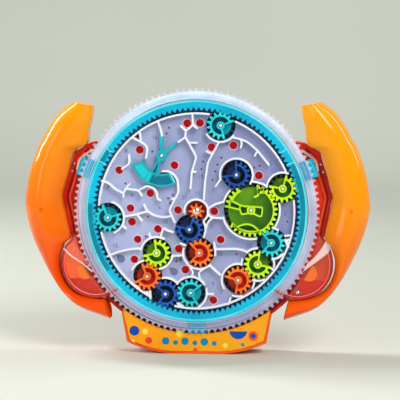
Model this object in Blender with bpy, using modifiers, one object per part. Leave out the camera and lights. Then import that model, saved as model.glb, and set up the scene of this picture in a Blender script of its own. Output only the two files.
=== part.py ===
"""A hand-turned gear maze board, 200 mm wide, 155 mm high and 30 mm deep.

A clear toothed wheel carries a maze plate with fourteen gears.  A ring gear and a sun pinion stay with
the frame, so turning the wheel by its thumb teeth makes every gear roll on its pin.
Units are metres, +X right, +Y to the back, +Z up.  Everything is placed from the wheel's axle, and the
axle stands WHEEL_Z above the ground.  Angles are in degrees, counter-clockwise as seen from the front.
"""

import math

import bmesh
import bpy

# Overall size
BOARD_WIDTH = 0.200
BOARD_HEIGHT = 0.155
BOARD_DEPTH = 0.030

# Gear train
MODULE = 0.000985
ADDENDUM = 0.00065
DEDENDUM = 0.00135
TOOTH_TIP_WIDTH = 0.00048
RING_TEETH = 120
SMALL_TEETH = 15
BIG_TEETH = 30
SUN_TEETH = 8
GEAR_DISC_THICKNESS = 0.0020
GEAR_END_PLAY = 0.0005
GEAR_FRONT_GAP = 0.0006
HUB_RADIUS = 0.0022
SPOKE_WIDTH = 0.0009
RIM_WALL = 0.00085
PIN_RADIUS = 0.00095
OPEN_TEETH = 4
SUN_WELL_GAP = 0.0015
BIG_RAISED_TEETH = [(2, 20), (24, 28)]

# Clearances
FIT_GAP = 0.0003
SLIDE_GAP = 0.0004
SWEEP_GAP = 0.0007

# Clear wheel: window and toothed thumb rim
WINDOW_FRONT_Y = -0.0095
WINDOW_THICKNESS = 0.0016
WINDOW_CHAMFER = 0.0013
RIM_ROOT_RADIUS = 0.0696
RIM_TOOTH_HEIGHT = 0.0017
RIM_TEETH = 120
RIM_THICKNESS = 0.0040
RIM_BAND = 0.0036

# Maze plate
PASSAGE_DEPTH = 0.0046
WELL_DEPTH = 0.0024
WALL_THICKNESS = 0.0011
PLATE_EDGE_GAP = 0.00105
LIP_WIDTH = 0.0036
LIP_THICKNESS = 0.0012
HUB_WALL = 0.0017
BALL_HOLE_RADIUS = 0.00235

# Ring gear
RING_WALL = 0.0040
RING_DEPTH = 0.0078
LUG_REACH = 0.0737
LUG_WIDTH = 0.0110
LUG_THICKNESS = 0.0022
LUG_SET_BACK = 0.0007
LUG_ANGLES = {"left": 159.0, "right": 20.5, "bottom": -90.0}
LUG_SCREW_RADIUS = 0.0690

# Back tray
TRAY_FLOOR = 0.0020
TRAY_BACK_Y = 0.0110
TRAY_TOP_WALL = 0.0018
TRAY_BOTTOM_RADIUS = 0.0748
BOSS_RADIUS = 0.0054

# Ball pockets
POCKET_X = 0.0589
POCKET_Z = -0.0307
POCKET_RADIUS = 0.0205
POCKET_WALL = 0.0013
HOOD_FRONT_Y = -0.0065
HOOD_THICKNESS = 0.0013
POST_X = 0.0654
POST_Z = -0.0358
POST_RADIUS = 0.0048
BALL_RADIUS = 0.0020
BALL_Y = -0.0026

# Label box under the wheel, which is also the foot
BOX_TOP_RADIUS = 0.0743
BOX_TOP_HALF_WIDTH = 0.0439
BOX_BOTTOM_HALF_WIDTH = 0.0408
BOX_CORNER_RISE = 0.0067
LAND_HALF_WIDTH = 0.0120
BOX_FRONT_Y = -0.0055
BOX_BACK_Y = 0.0130
BOX_WALL = 0.0020
LABEL_BORDER = 0.0013
LABEL_THICKNESS = 0.0011
LABEL_RECESS = 0.0016

# Handles
HANDLE_WALL = 0.0018
SEAM_GAP = 0.0003
OUTER_EDGE_DEPTH = 0.0045
INNER_EDGE_DEPTH = 0.0055
RIDGE_HALF_WIDTH = 0.0007
SCREW_POST_RADIUS = 0.0032

# Screws
SCREW_RADIUS = 0.0010
SCREW_HEAD_RADIUS = 0.0022
SCREW_HEAD_HEIGHT = 0.0015
SCREW_IN_LUG = 0.0015
CENTRE_PIN_RADIUS = 0.0012
CENTRE_HEAD_RADIUS = 0.0019
CENTRE_HEAD_HEIGHT = 0.0008

# Swing lever
LEVER_ARM_LENGTH = 0.0106
LEVER_ARM_WIDTH = 0.0015
LEVER_HUB_RADIUS = 0.0030
LEVER_INNER_RADIUS = 0.0109
LEVER_OUTER_RADIUS = 0.0179
LEVER_RECESS = 0.0022
LEVER_RECESS_BORDER = 0.0012
LEVER_ARMS = (91.0, 41.0)
LEVER_STRUTS = (238.0, 254.0)
LEVER_WEIGHT = (198.0, 294.0)
LEVER_RECESS_SPAN = (243.5, 288.5)

# Facets
FLAT_ANGLE = 0.3
ROUND_STEPS = 60
SMALL_STEPS = 10
SCREW_STEPS = 8
WELL_STEPS = 20
BIG_WELL_STEPS = 30

# Photograph scale for outlines read from it: the wheel's axle and the board's width, in pixels
AXLE_PX = (197.0, 210.5)
WIDTH_PX = 343.6
MAZE_RADIUS_PX = 98.1

# Worked out from the sizes above
PIXEL = BOARD_WIDTH / WIDTH_PX
RIM_TIP_RADIUS = RIM_ROOT_RADIUS + RIM_TOOTH_HEIGHT
WHEEL_Z = BOARD_HEIGHT - RIM_TIP_RADIUS
RING_PITCH_RADIUS = RING_TEETH * MODULE / 2
RING_TIP_RADIUS = RING_PITCH_RADIUS - ADDENDUM
RING_OUTER_RADIUS = RING_PITCH_RADIUS + DEDENDUM + RING_WALL
PLATE_RADIUS = RING_TIP_RADIUS - PLATE_EDGE_GAP
LIP_RADIUS = PLATE_RADIUS + LIP_WIDTH
MAZE_RADIUS = PLATE_RADIUS - WALL_THICKNESS / 2 - 0.0001
MAZE_PIXEL = MAZE_RADIUS / MAZE_RADIUS_PX
PIN_HOLE_RADIUS = PIN_RADIUS + FIT_GAP
WINDOW_BACK_Y = WINDOW_FRONT_Y + WINDOW_THICKNESS
FLOOR_Y = WINDOW_BACK_Y + PASSAGE_DEPTH
WELL_FLOOR_Y = FLOOR_Y + WELL_DEPTH
GEAR_BACK_Y = WELL_FLOOR_Y - GEAR_END_PLAY
GEAR_STEP_Y = GEAR_BACK_Y - GEAR_DISC_THICKNESS
GEAR_FRONT_Y = WINDOW_BACK_Y + GEAR_FRONT_GAP
WALL_TOP_Y = WINDOW_BACK_Y + FIT_GAP
RING_FRONT_Y = WINDOW_BACK_Y + SLIDE_GAP
RING_BACK_Y = RING_FRONT_Y + RING_DEPTH
LIP_FRONT_Y = RING_BACK_Y + SLIDE_GAP
PLATE_BACK_Y = LIP_FRONT_Y + LIP_THICKNESS
LUG_BACK_Y = RING_BACK_Y - LUG_SET_BACK
LUG_FRONT_Y = LUG_BACK_Y - LUG_THICKNESS
RIM_BACK_Y = LUG_FRONT_Y - SWEEP_GAP
RIM_FRONT_Y = RIM_BACK_Y - RIM_THICKNESS
RIM_INNER_RADIUS = RING_OUTER_RADIUS + SLIDE_GAP
TRAY_FRONT_Y = LUG_BACK_Y + FIT_GAP
TRAY_FLOOR_Y = TRAY_BACK_Y - TRAY_FLOOR
TRAY_INNER_RADIUS = LIP_RADIUS + SWEEP_GAP
TRAY_TOP_RADIUS = TRAY_INNER_RADIUS + TRAY_TOP_WALL
BOSS_FRONT_Y = WELL_FLOOR_Y + FIT_GAP
POCKET_WALL_RADIUS = RIM_TIP_RADIUS + SWEEP_GAP
POCKET_REACH = POCKET_WALL_RADIUS + POCKET_WALL
POCKET_INNER_RADIUS = POCKET_RADIUS - POCKET_WALL
POCKET_FLOOR_Y = TRAY_FLOOR_Y
HOOD_BACK_Y = TRAY_FRONT_Y - FIT_GAP
BALL_PATH_RADIUS = POCKET_INNER_RADIUS - BALL_RADIUS - FIT_GAP
HALF_DEPTH = BOARD_DEPTH / 2

# Gears: the gear or ring that each one meshes with, the direction from it, the way its open side points
# and its colour.  The ring stands for the wheel's axle and its own teeth.
GEARS = {
    "gear_teal_top": ("ring", 74.2, -25, "teal"),
    "gear_lime_right": ("ring", 15.1, 126, "lime"),
    "gear_teal_left": ("ring", 184.5, 63, "teal"),
    "gear_blue_bottom": ("ring", 249.6, 183, "blue"),
    "gear_lime_big": ("gear_lime_right", 214.9, 195, "lime"),
    "gear_blue_top": ("gear_lime_big", 112.7, 138, "blue"),
    "gear_teal_right": ("gear_lime_big", -58.1, 35, "teal"),
    "gear_lime_low": ("gear_teal_right", -121.2, 36, "lime"),
    "gear_orange_low": ("gear_lime_low", -141.0, 208, "orange"),
    "gear_orange_left": ("gear_blue_bottom", 136.0, 164, "orange"),
    "gear_lime_left": ("gear_orange_left", 68.3, 140, "lime"),
    "gear_teal_bottom": ("gear_blue_bottom", 3.2, -8, "teal"),
    "gear_blue_centre": ("sun", -110.8, 118, "blue"),
    "gear_orange_centre": ("gear_blue_centre", -66.8, -56, "orange"),
}
BIG_GEAR = "gear_lime_big"

# Raised lines on the big gear's front, as (share of its rim's inner radius, angle) from its centre
BIG_GEAR_LINES = [
    [(1.0, -14.0), (0.18, 35.0)],
    [(1.0, -29.0), (0.18, -85.0)],
    [(1.0, 232.0), (0.68, 236.0), (0.6, 229.0)],
]

# Walls round the gear wells: gear, radius in photograph pixels, then start and end angles
WELL_WALLS = [
    ("gear_teal_top", 16.4, 212, 321),
    ("gear_blue_top", 16.4, -32, 197),
    ("gear_lime_big", 28.8, 57, 90),
    ("gear_lime_big", 28.8, 137, 163),
    ("gear_lime_big", 28.8, 195, 281),
    ("gear_lime_big", 28.8, -36, 14),
    ("gear_lime_right", 16.2, 71, 174),
    ("gear_teal_right", 16.4, -86, -42),
    ("gear_lime_low", 16.4, 92, 126),
    ("gear_lime_low", 16.4, -9, 24),
    ("gear_lime_low", 16.4, 253, 292),
    ("gear_lime_low", 16.4, 162, 182),
    ("gear_orange_low", 16.4, 76, 211),
    ("gear_orange_low", 16.4, -29, 4),
    ("gear_orange_low", 16.4, 250, 283),
    ("gear_blue_centre", 16.2, -27, 28),
    ("gear_blue_centre", 16.2, 237, 256),
    ("gear_orange_centre", 16.2, 165, 312),
    ("gear_orange_centre", 16.2, -8, 22),
    ("gear_teal_left", 16.4, -66, 75),
    ("gear_lime_left", 16.2, 62, 168),
    ("gear_lime_left", 16.2, -79, -8),
    ("gear_orange_left", 16.2, 103, 157),
    ("gear_blue_bottom", 16.4, 41, 100),
    ("gear_teal_bottom", 16.3, 32, 146),
    ("gear_teal_bottom", 16.4, -60, 13),
    ("sun", 12.0, -48, 186),
]

# Stretches of the maze's round outer wall, between the places where gears reach the ring
OUTER_WALL_ARCS = [(82.5, 176.5), (193.0, 242.0), (257.5, 366.5), (23.0, 66.5)]

# Free maze walls, in photograph pixels
MAZE_WALLS = [
    [(158.8, 121.0), (162.8, 134.8)],
    [(133.4, 136.8), (142.3, 141.5), (147.2, 145.1), (148.1, 148.2), (146.8, 157.1)],
    [(140.6, 131.4), (141.4, 140.4)],
    [(129.6, 154.5), (130.3, 162.5), (122.7, 168.3)],
    [(193.2, 113.2), (193.9, 123.9), (197.6, 127.3)],
    [(193.5, 124.0), (186.7, 130.2), (181.6, 125.0)],
    [(186.7, 129.8), (185.9, 136.5), (189.6, 141.7), (197.1, 156.0), (192.8, 170.4), (191.3, 187.4)],
    [(186.3, 136.0), (179.3, 141.1)],
    [(189.2, 141.7), (197.6, 141.7)],
    [(192.5, 170.8), (196.4, 170.8)],
    [(219.5, 141.6), (213.1, 153.1), (208.6, 161.8), (205.9, 180.0), (204.6, 198.5)],
    [(207.4, 150.3), (213.5, 153.3)],
    [(232.6, 136.0), (240.8, 137.8), (248.5, 141.0), (257.4, 148.7), (269.5, 163.3)],
    [(241.5, 138.4), (242.6, 142.6), (241.5, 146.4)],
    [(258.0, 149.6), (255.5, 154.4)],
    [(221.0, 178.6), (216.6, 185.0)],
    [(223.9, 200.9), (215.3, 203.3), (209.6, 206.8), (208.2, 211.0), (209.6, 214.6), (213.2, 216.7),
     (223.0, 217.2)],
    [(213.4, 216.9), (209.6, 220.2), (207.5, 224.4), (205.4, 233.4)],
    [(273.4, 226.2), (279.0, 228.6)],
    [(163.4, 170.2), (169.4, 170.2), (175.0, 173.6), (178.4, 179.4), (179.3, 190.8), (169.8, 209.8),
     (175.5, 221.6)],
    [(176.7, 197.1), (172.7, 198.3)],
    [(102.0, 180.4), (108.9, 182.2), (115.3, 188.5), (124.1, 192.7), (123.6, 196.5)],
    [(123.7, 193.0), (126.2, 188.0), (130.2, 183.4)],
    [(125.8, 188.0), (139.4, 189.7), (142.2, 194.9)],
    [(139.2, 189.9), (147.4, 184.8), (154.9, 187.4), (157.7, 192.0), (157.7, 197.7), (161.2, 199.7)],
    [(122.4, 225.2), (126.2, 228.3)],
    [(124.2, 216.2), (137.1, 213.8), (147.8, 210.7)],
    [(144.5, 204.0), (147.4, 210.4), (154.9, 214.9), (163.5, 216.7), (172.6, 215.2)],
    [(137.4, 213.6), (142.2, 220.1)],
    [(160.9, 236.6), (164.1, 227.0), (167.5, 229.9), (173.8, 231.4)],
    [(150.9, 237.2), (149.7, 233.3)],
    [(141.4, 248.3), (131.3, 248.8), (118.7, 251.7), (107.6, 256.4)],
    [(172.4, 255.9), (183.4, 254.6)],
    [(191.4, 267.4), (193.9, 271.5), (192.8, 275.6)],
    [(204.2, 268.4), (199.2, 272.3), (201.0, 279.4)],
    [(208.0, 293.9), (213.9, 293.9)],
    [(211.1, 265.4), (221.2, 274.2)],
    [(216.0, 248.5), (235.8, 247.9), (243.3, 248.9), (248.6, 251.4)],
    [(216.3, 248.7), (214.8, 241.9)],
    [(286.0, 238.4), (289.4, 245.6)],
    [(285.8, 234.4), (290.4, 234.0)],
    [(282.2, 253.4), (278.0, 257.0)],
    [(272.6, 267.4), (275.4, 269.4)],
    [(231.6, 297.6), (229.3, 304.0)],
    [(131.4, 283.0), (139.6, 288.6)],
    [(150.4, 291.6), (150.8, 298.8)],
    [(178.2, 303.4), (182.4, 307.0)],
]

# Ball holes in the maze floor, in photograph pixels
BALL_HOLES = [
    (187.5, 122.5), (200.3, 122.1), (212.0, 146.4), (233.9, 144.5), (139.8, 149.2),
    (174.8, 164.6), (118.9, 169.8), (259.4, 174.5), (150.3, 192.9), (130.2, 208.1),
    (178.2, 209.7), (214.8, 210.7), (131.7, 221.9), (157.8, 229.1), (137.3, 239.7),
    (221.1, 239.3), (179.0, 249.0), (133.9, 260.1), (185.7, 270.0), (213.8, 300.8),
]
LEVER_PIVOT_PX = (162.4, 154.7)

# Left handle from the top of the horn to the lower end, in photograph pixels:
# outer edge, ridge and inner edge, then the ridge's share of the half depth
HANDLE_STATIONS = [
    ((73.0, 102.0), (84.0, 103.4), (93.2, 105.8), 0.76),
    ((61.1, 110.7), (76.0, 114.6), (91.8, 117.4), 0.88),
    ((51.6, 122.2), (67.0, 126.5), (88.9, 128.9), 0.96),
    ((43.2, 137.0), (57.6, 142.0), (86.7, 144.0), 1.0),
    ((38.5, 145.6), (53.6, 151.0), (74.4, 151.7), 1.0),
    ((30.0, 169.5), (46.4, 173.0), (67.9, 173.6), 1.0),
    ((25.3, 197.0), (43.3, 199.0), (61.9, 195.8), 1.0),
    ((25.6, 214.0), (43.3, 214.0), (65.2, 214.5), 1.0),
    ((31.5, 236.5), (46.8, 234.6), (69.6, 237.0), 1.0),
    ((38.5, 252.5), (50.0, 248.5), (63.5, 245.3), 0.95),
    ((46.0, 268.0), (52.8, 264.0), (59.0, 260.6), 0.86),
    ((54.0, 282.0), (57.6, 279.2), (61.3, 276.4), 0.78),
    ((65.0, 296.5), (67.2, 293.2), (69.6, 289.7), 0.74),
    ((80.0, 308.8), (81.5, 303.0), (83.0, 297.0), 0.76),
    ((109.9, 319.7), (107.4, 310.6), (104.6, 300.8), 0.80),
]
HANDLE_SCREWS_PX = {"upper": (47.4, 174.0), "lower": (48.4, 231.0)}

# Tray outline on the left side above the pocket, in photograph pixels, from the top arc to the pocket
SHOULDER_PX = [(91.0, 143.5), (75.5, 153.0), (63.2, 196.0), (71.2, 237.6)]
TOP_ARC_END = 141.0

COLOURS = {
    "red": ((0.62, 0.01, 0.005, 1.0), 0.15, 0.0),
    "orange_shell": ((1.0, 0.24, 0.0, 1.0), 0.22, 0.0),
    "label": ((1.0, 0.38, 0.01, 1.0), 0.4, 0.0),
    "clear": ((0.82, 0.85, 0.92, 1.0), 0.08, 0.0),
    "lavender": ((0.55, 0.55, 0.72, 1.0), 0.35, 0.0),
    "cyan": ((0.0, 0.5, 0.7, 1.0), 0.3, 0.0),
    "teal": ((0.0, 0.55, 0.63, 1.0), 0.3, 0.0),
    "blue": ((0.01, 0.09, 0.42, 1.0), 0.3, 0.0),
    "lime": ((0.5, 0.82, 0.0, 1.0), 0.3, 0.0),
    "orange": ((1.0, 0.18, 0.01, 1.0), 0.3, 0.0),
    "steel": ((0.7, 0.7, 0.72, 1.0), 0.2, 1.0),
}


def clear_scene():
    for obj in list(bpy.data.objects):
        bpy.data.objects.remove(obj)


def collection(name):
    made = bpy.data.collections.new(name)
    bpy.context.scene.collection.children.link(made)
    return made


def empty(name):
    """A centre that pieces hang from, on the wheel's axle."""
    made = bpy.data.objects.new(name, None)
    made.location = (0.0, 0.0, WHEEL_Z)
    PARTS.objects.link(made)
    return made


def material(name):
    """The plain material of one colour, made once."""
    made = bpy.data.materials.get(name)
    if made:
        return made
    colour, roughness, metallic = COLOURS[name]
    made = bpy.data.materials.new(name)
    made.use_nodes = True
    shader = made.node_tree.nodes["Principled BSDF"]
    shader.inputs["Base Color"].default_value = colour
    shader.inputs["Roughness"].default_value = roughness
    shader.inputs["Metallic"].default_value = metallic
    made.diffuse_color = colour
    return made


def polar(radius, angle, centre=(0.0, 0.0)):
    turn = math.radians(angle)
    return (centre[0] + radius * math.cos(turn), centre[1] + radius * math.sin(turn))


def arc(radius, start, end, step=6.0, centre=(0.0, 0.0)):
    """Points along an arc, both ends included, about one each step degrees."""
    count = max(1, math.ceil(abs(end - start) / step - 1e-6))
    return [polar(radius, start + (end - start) * i / count, centre) for i in range(count + 1)]


def circle(radius, steps, centre=(0.0, 0.0)):
    return [polar(radius, 360 * i / steps, centre) for i in range(steps)]


def beside(radius, angle, offset):
    """A point beside the radial line at this angle, offset to its counter-clockwise side."""
    along = math.sqrt(radius * radius - offset * offset)
    return polar(radius, angle + math.degrees(math.atan2(offset, along)))


def from_photo(point, pixel=PIXEL):
    """A photograph pixel as (x, z) from the wheel's axle."""
    return ((point[0] - AXLE_PX[0]) * pixel, (AXLE_PX[1] - point[1]) * pixel)


def mirrored(points):
    return [(-x, z) for x, z in reversed(points)]


def prism_mesh(loops, front, back):
    """The mesh of flat outlines in the XZ plane, filled and given a depth from front to back."""
    curve = bpy.data.curves.new("outline", "CURVE")
    curve.dimensions = "2D"
    curve.fill_mode = "BOTH"
    curve.extrude = (back - front) / 2
    for loop in loops:
        spline = curve.splines.new("POLY")
        spline.points.add(len(loop) - 1)
        for point, (x, z) in zip(spline.points, loop):
            point.co = (x, z, 0.0, 1.0)
        spline.use_cyclic_u = True
    outline = bpy.data.objects.new("outline", curve)
    bpy.context.scene.collection.objects.link(outline)
    graph = bpy.context.evaluated_depsgraph_get()
    mesh = bpy.data.meshes.new_from_object(outline.evaluated_get(graph))
    bpy.data.objects.remove(outline)
    bpy.data.curves.remove(curve)
    shape = bmesh.new()
    shape.from_mesh(mesh)
    bmesh.ops.remove_doubles(shape, verts=shape.verts, dist=1e-6)
    middle = (front + back) / 2
    for vert in shape.verts:
        x, z, depth = vert.co
        vert.co = (x, middle - depth, z)
    bmesh.ops.recalc_face_normals(shape, faces=shape.faces)
    shape.to_mesh(mesh)
    shape.free()
    return mesh


def joined_mesh(meshes):
    """Several meshes in one, still separate bodies, for a Boolean to join or cut with."""
    shape = bmesh.new()
    for mesh in meshes:
        shape.from_mesh(mesh)
    made = bpy.data.meshes.new("joined")
    shape.to_mesh(made)
    shape.free()
    return made


def turned_mesh(profile, steps):
    """A closed (radius, y) profile turned about the Y axis, as a solid ring or a solid disc."""
    low = bpy.data.meshes.new("profile")
    edges = [(i, i + 1) for i in range(len(profile) - 1)]
    if profile[0][0] > 1e-6:
        edges.append((len(profile) - 1, 0))
    low.from_pydata([(radius, 0.0, -y) for radius, y in profile], edges, [])
    guide = bpy.data.objects.new("profile", low)
    bpy.context.scene.collection.objects.link(guide)
    screw = guide.modifiers.new("turn", "SCREW")
    screw.steps = steps
    screw.render_steps = steps
    screw.use_merge_vertices = True
    screw.merge_threshold = 1e-6
    graph = bpy.context.evaluated_depsgraph_get()
    mesh = bpy.data.meshes.new_from_object(guide.evaluated_get(graph))
    bpy.data.objects.remove(guide)
    shape = bmesh.new()
    shape.from_mesh(mesh)
    bmesh.ops.remove_doubles(shape, verts=shape.verts, dist=1e-6)
    for vert in shape.verts:
        x, depth, up = vert.co
        vert.co = (x, -up, depth)
    bmesh.ops.recalc_face_normals(shape, faces=shape.faces)
    shape.to_mesh(mesh)
    shape.free()
    return mesh


def cylinder_mesh(radius, front, back, centre=(0.0, 0.0), steps=SMALL_STEPS):
    return prism_mesh([circle(radius, steps, centre)], front, back)


def part(name, mesh, colour, parent, centre=(0.0, 0.0), turn=0.0):
    """A named piece on its parent's axis, moved to centre and turned counter-clockwise."""
    made = bpy.data.objects.new(name, mesh)
    mesh.name = name
    mesh.materials.clear()
    mesh.materials.append(material(colour))
    made.parent = parent
    made.location = (centre[0], 0.0, centre[1])
    made.rotation_euler = (0.0, -math.radians(turn), 0.0)
    PARTS.objects.link(made)
    return made


def shape_by(target, meshes, operation, self_crossing=False):
    """Joins shapes to a piece or cuts them from it.  The shapes are placed as the piece's own mesh is."""
    tool = bpy.data.objects.new(f"{target.name}_{operation.lower()}", joined_mesh(meshes))
    tool.parent = target.parent
    tool.location = target.location
    tool.rotation_euler = target.rotation_euler
    tool.hide_render = True
    tool.display_type = "WIRE"
    CUTTERS.objects.link(tool)
    boolean = target.modifiers.new(operation.lower(), "BOOLEAN")
    boolean.operation = operation
    boolean.object = tool
    boolean.solver = "EXACT"
    boolean.use_self = self_crossing
    return tool


def merge_flats():
    """Joins the flat triangles that the Booleans leave into whole faces, on every piece that has them."""
    for piece in PARTS.objects:
        if piece.modifiers:
            merge = piece.modifiers.new("merge flats", "DECIMATE")
            merge.decimate_type = "DISSOLVE"
            merge.angle_limit = math.radians(FLAT_ANGLE)


def finish_smooth(obj, angle=30.0):
    obj.data.shade_smooth()
    obj.data.set_sharp_from_angle(angle=math.radians(angle))


def tooth_tip(radius, angle, sign):
    """One corner of a tooth's tip: sign -1 before the tooth's middle, 1 after it."""
    return beside(radius, angle, sign * TOOTH_TIP_WIDTH / 2)


def gear_outline(teeth):
    """External teeth: two corners at each tip and one point at each root."""
    pitch_radius = teeth * MODULE / 2
    step = 360 / teeth
    points = []
    for k in range(teeth):
        points.append(tooth_tip(pitch_radius + ADDENDUM, k * step, -1))
        points.append(tooth_tip(pitch_radius + ADDENDUM, k * step, 1))
        points.append(polar(pitch_radius - DEDENDUM, (k + 0.5) * step))
    return points


def ring_outline():
    """Internal teeth that point to the axle."""
    step = 360 / RING_TEETH
    points = []
    for k in range(RING_TEETH):
        points.append(tooth_tip(RING_TIP_RADIUS, k * step, -1))
        points.append(tooth_tip(RING_TIP_RADIUS, k * step, 1))
        points.append(polar(RING_PITCH_RADIUS + DEDENDUM, (k + 0.5) * step))
    return points


def raised_outline(teeth, first, last, inner_points):
    """The raised teeth from tooth first to tooth last, between two radial walls, closed by inner_points."""
    step = 360 / teeth
    tip = teeth * MODULE / 2 + ADDENDUM
    root = teeth * MODULE / 2 - DEDENDUM
    wall = SPOKE_WIDTH / 2
    points = [beside(tip - ADDENDUM, first * step, -wall), tooth_tip(tip, first * step, -1)]
    for k in range(first, last):
        points.append(tooth_tip(tip, k * step, 1))
        points.append(polar(root, (k + 0.5) * step))
        points.append(tooth_tip(tip, (k + 1) * step, -1))
    points.append(tooth_tip(tip, last * step, 1))
    points.append(beside(tip - ADDENDUM, last * step, wall))
    return points + inner_points


def ribbon(points, width=WALL_THICKNESS):
    """The outline of a wall of this width along a path."""
    left, right = [], []
    for i, (x, z) in enumerate(points):
        before = points[max(i - 1, 0)]
        after = points[min(i + 1, len(points) - 1)]
        first = math.atan2(z - before[1], x - before[0]) if i else None
        second = math.atan2(after[1] - z, after[0] - x) if i < len(points) - 1 else None
        first = second if first is None else first
        second = first if second is None else second
        half_turn = math.remainder(second - first, math.tau) / 2
        across = first + half_turn + math.pi / 2
        reach = width / 2 / max(math.cos(half_turn), 0.5)
        left.append((x + reach * math.cos(across), z + reach * math.sin(across)))
        right.append((x - reach * math.cos(across), z - reach * math.sin(across)))
    return left + right[::-1]


def teeth_of(name):
    """How many teeth a gear has, or the ring or the sun that it meshes with."""
    counts = {"ring": RING_TEETH, "sun": SUN_TEETH, BIG_GEAR: BIG_TEETH}
    return counts.get(name, SMALL_TEETH)


def gear_places():
    """The centre of each gear and the angle of its first tooth, so that all teeth mesh."""
    places = {"ring": ((0.0, 0.0), 0.0), "sun": ((0.0, 0.0), 0.0)}
    for name, (other, direction, _, _) in GEARS.items():
        other_centre, other_turn = places[other]
        other_pitch = 360 / teeth_of(other)
        pitch = 360 / teeth_of(name)
        along = (direction - other_turn) / other_pitch
        if other == "ring":
            distance = (RING_TEETH - teeth_of(name)) * MODULE / 2
            turn = direction - (along - 0.5) * pitch
        else:
            distance = (teeth_of(other) + teeth_of(name)) * MODULE / 2
            turn = direction + 180 - (0.5 - along) * pitch
        places[name] = (polar(distance, direction, other_centre), turn % 360)
    return places


def small_gear(name):
    """A gear with teeth all round its back disc, and a raised front that leaves four teeth open for the ball."""
    _, _, open_way, colour = GEARS[name]
    centre, phase = PLACES[name]
    step = 360 / SMALL_TEETH
    first_tooth = round((open_way - phase) / step - OPEN_TEETH / 2)
    turn = phase + first_tooth * step
    root = SMALL_TEETH * MODULE / 2 - DEDENDUM
    recess = root - RIM_WALL
    wall = SPOKE_WIDTH / 2
    start = OPEN_TEETH * step
    hub_side = arc(HUB_RADIUS, 0, start, 24)[1:-1]
    inner = [beside(HUB_RADIUS, 0, wall)] + hub_side + [beside(HUB_RADIUS, start, -wall)]
    raised = raised_outline(SMALL_TEETH, OPEN_TEETH, SMALL_TEETH, inner)
    hollow = [beside(HUB_RADIUS, start, wall), beside(recess, start, wall)]
    hollow += arc(recess, start, 360, 30)[1:-1]
    hollow += [beside(recess, 360, -wall), beside(HUB_RADIUS, 360, -wall)]
    hollow += arc(HUB_RADIUS, 360, start, 44)[1:-1]
    bore = circle(PIN_HOLE_RADIUS, SMALL_STEPS)
    disc = prism_mesh([gear_outline(SMALL_TEETH), bore], GEAR_STEP_Y, GEAR_BACK_Y)
    gear = part(name, disc, colour, WHEEL, centre, turn)
    front = prism_mesh([raised, hollow, bore], GEAR_FRONT_Y, GEAR_STEP_Y)
    shape_by(gear, [front], "UNION")
    return gear


def big_gear(name):
    """The thirty-tooth gear: two raised stretches of teeth, and raised lines from its rim to its hub."""
    _, _, open_way, colour = GEARS[name]
    centre, phase = PLACES[name]
    step = 360 / BIG_TEETH
    turn = phase + round((open_way - phase) / step) * step
    root = BIG_TEETH * MODULE / 2 - DEDENDUM
    rim = root - RIM_WALL
    bore = circle(PIN_HOLE_RADIUS, SMALL_STEPS)
    disc = prism_mesh([gear_outline(BIG_TEETH), bore], GEAR_STEP_Y, GEAR_BACK_Y)
    gear = part(name, disc, colour, WHEEL, centre, turn)
    loops = []
    for first, last in BIG_RAISED_TEETH:
        inner = arc(rim, last * step, first * step, 12)
        loops.append([raised_outline(BIG_TEETH, first, last, inner)])
    for line in BIG_GEAR_LINES:
        loops.append([ribbon([polar(share * rim, angle) for share, angle in line], SPOKE_WIDTH)])
    loops.append([circle(HUB_RADIUS + SPOKE_WIDTH / 2, 16), bore])
    fronts = [prism_mesh(loop, GEAR_FRONT_Y, GEAR_STEP_Y + FIT_GAP) for loop in loops]
    shape_by(gear, fronts, "UNION", True)
    bore_cut = cylinder_mesh(PIN_HOLE_RADIUS, GEAR_FRONT_Y * 2, -GEAR_FRONT_Y)
    shape_by(gear, [bore_cut], "DIFFERENCE")
    return gear


def well_mesh(reach, centre, steps):
    """A flat-sided well whose sides stand at reach, from the wall tops down to the well floor."""
    return cylinder_mesh(reach / math.cos(math.pi / steps), WINDOW_FRONT_Y, WELL_FLOOR_Y, centre, steps)


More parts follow.
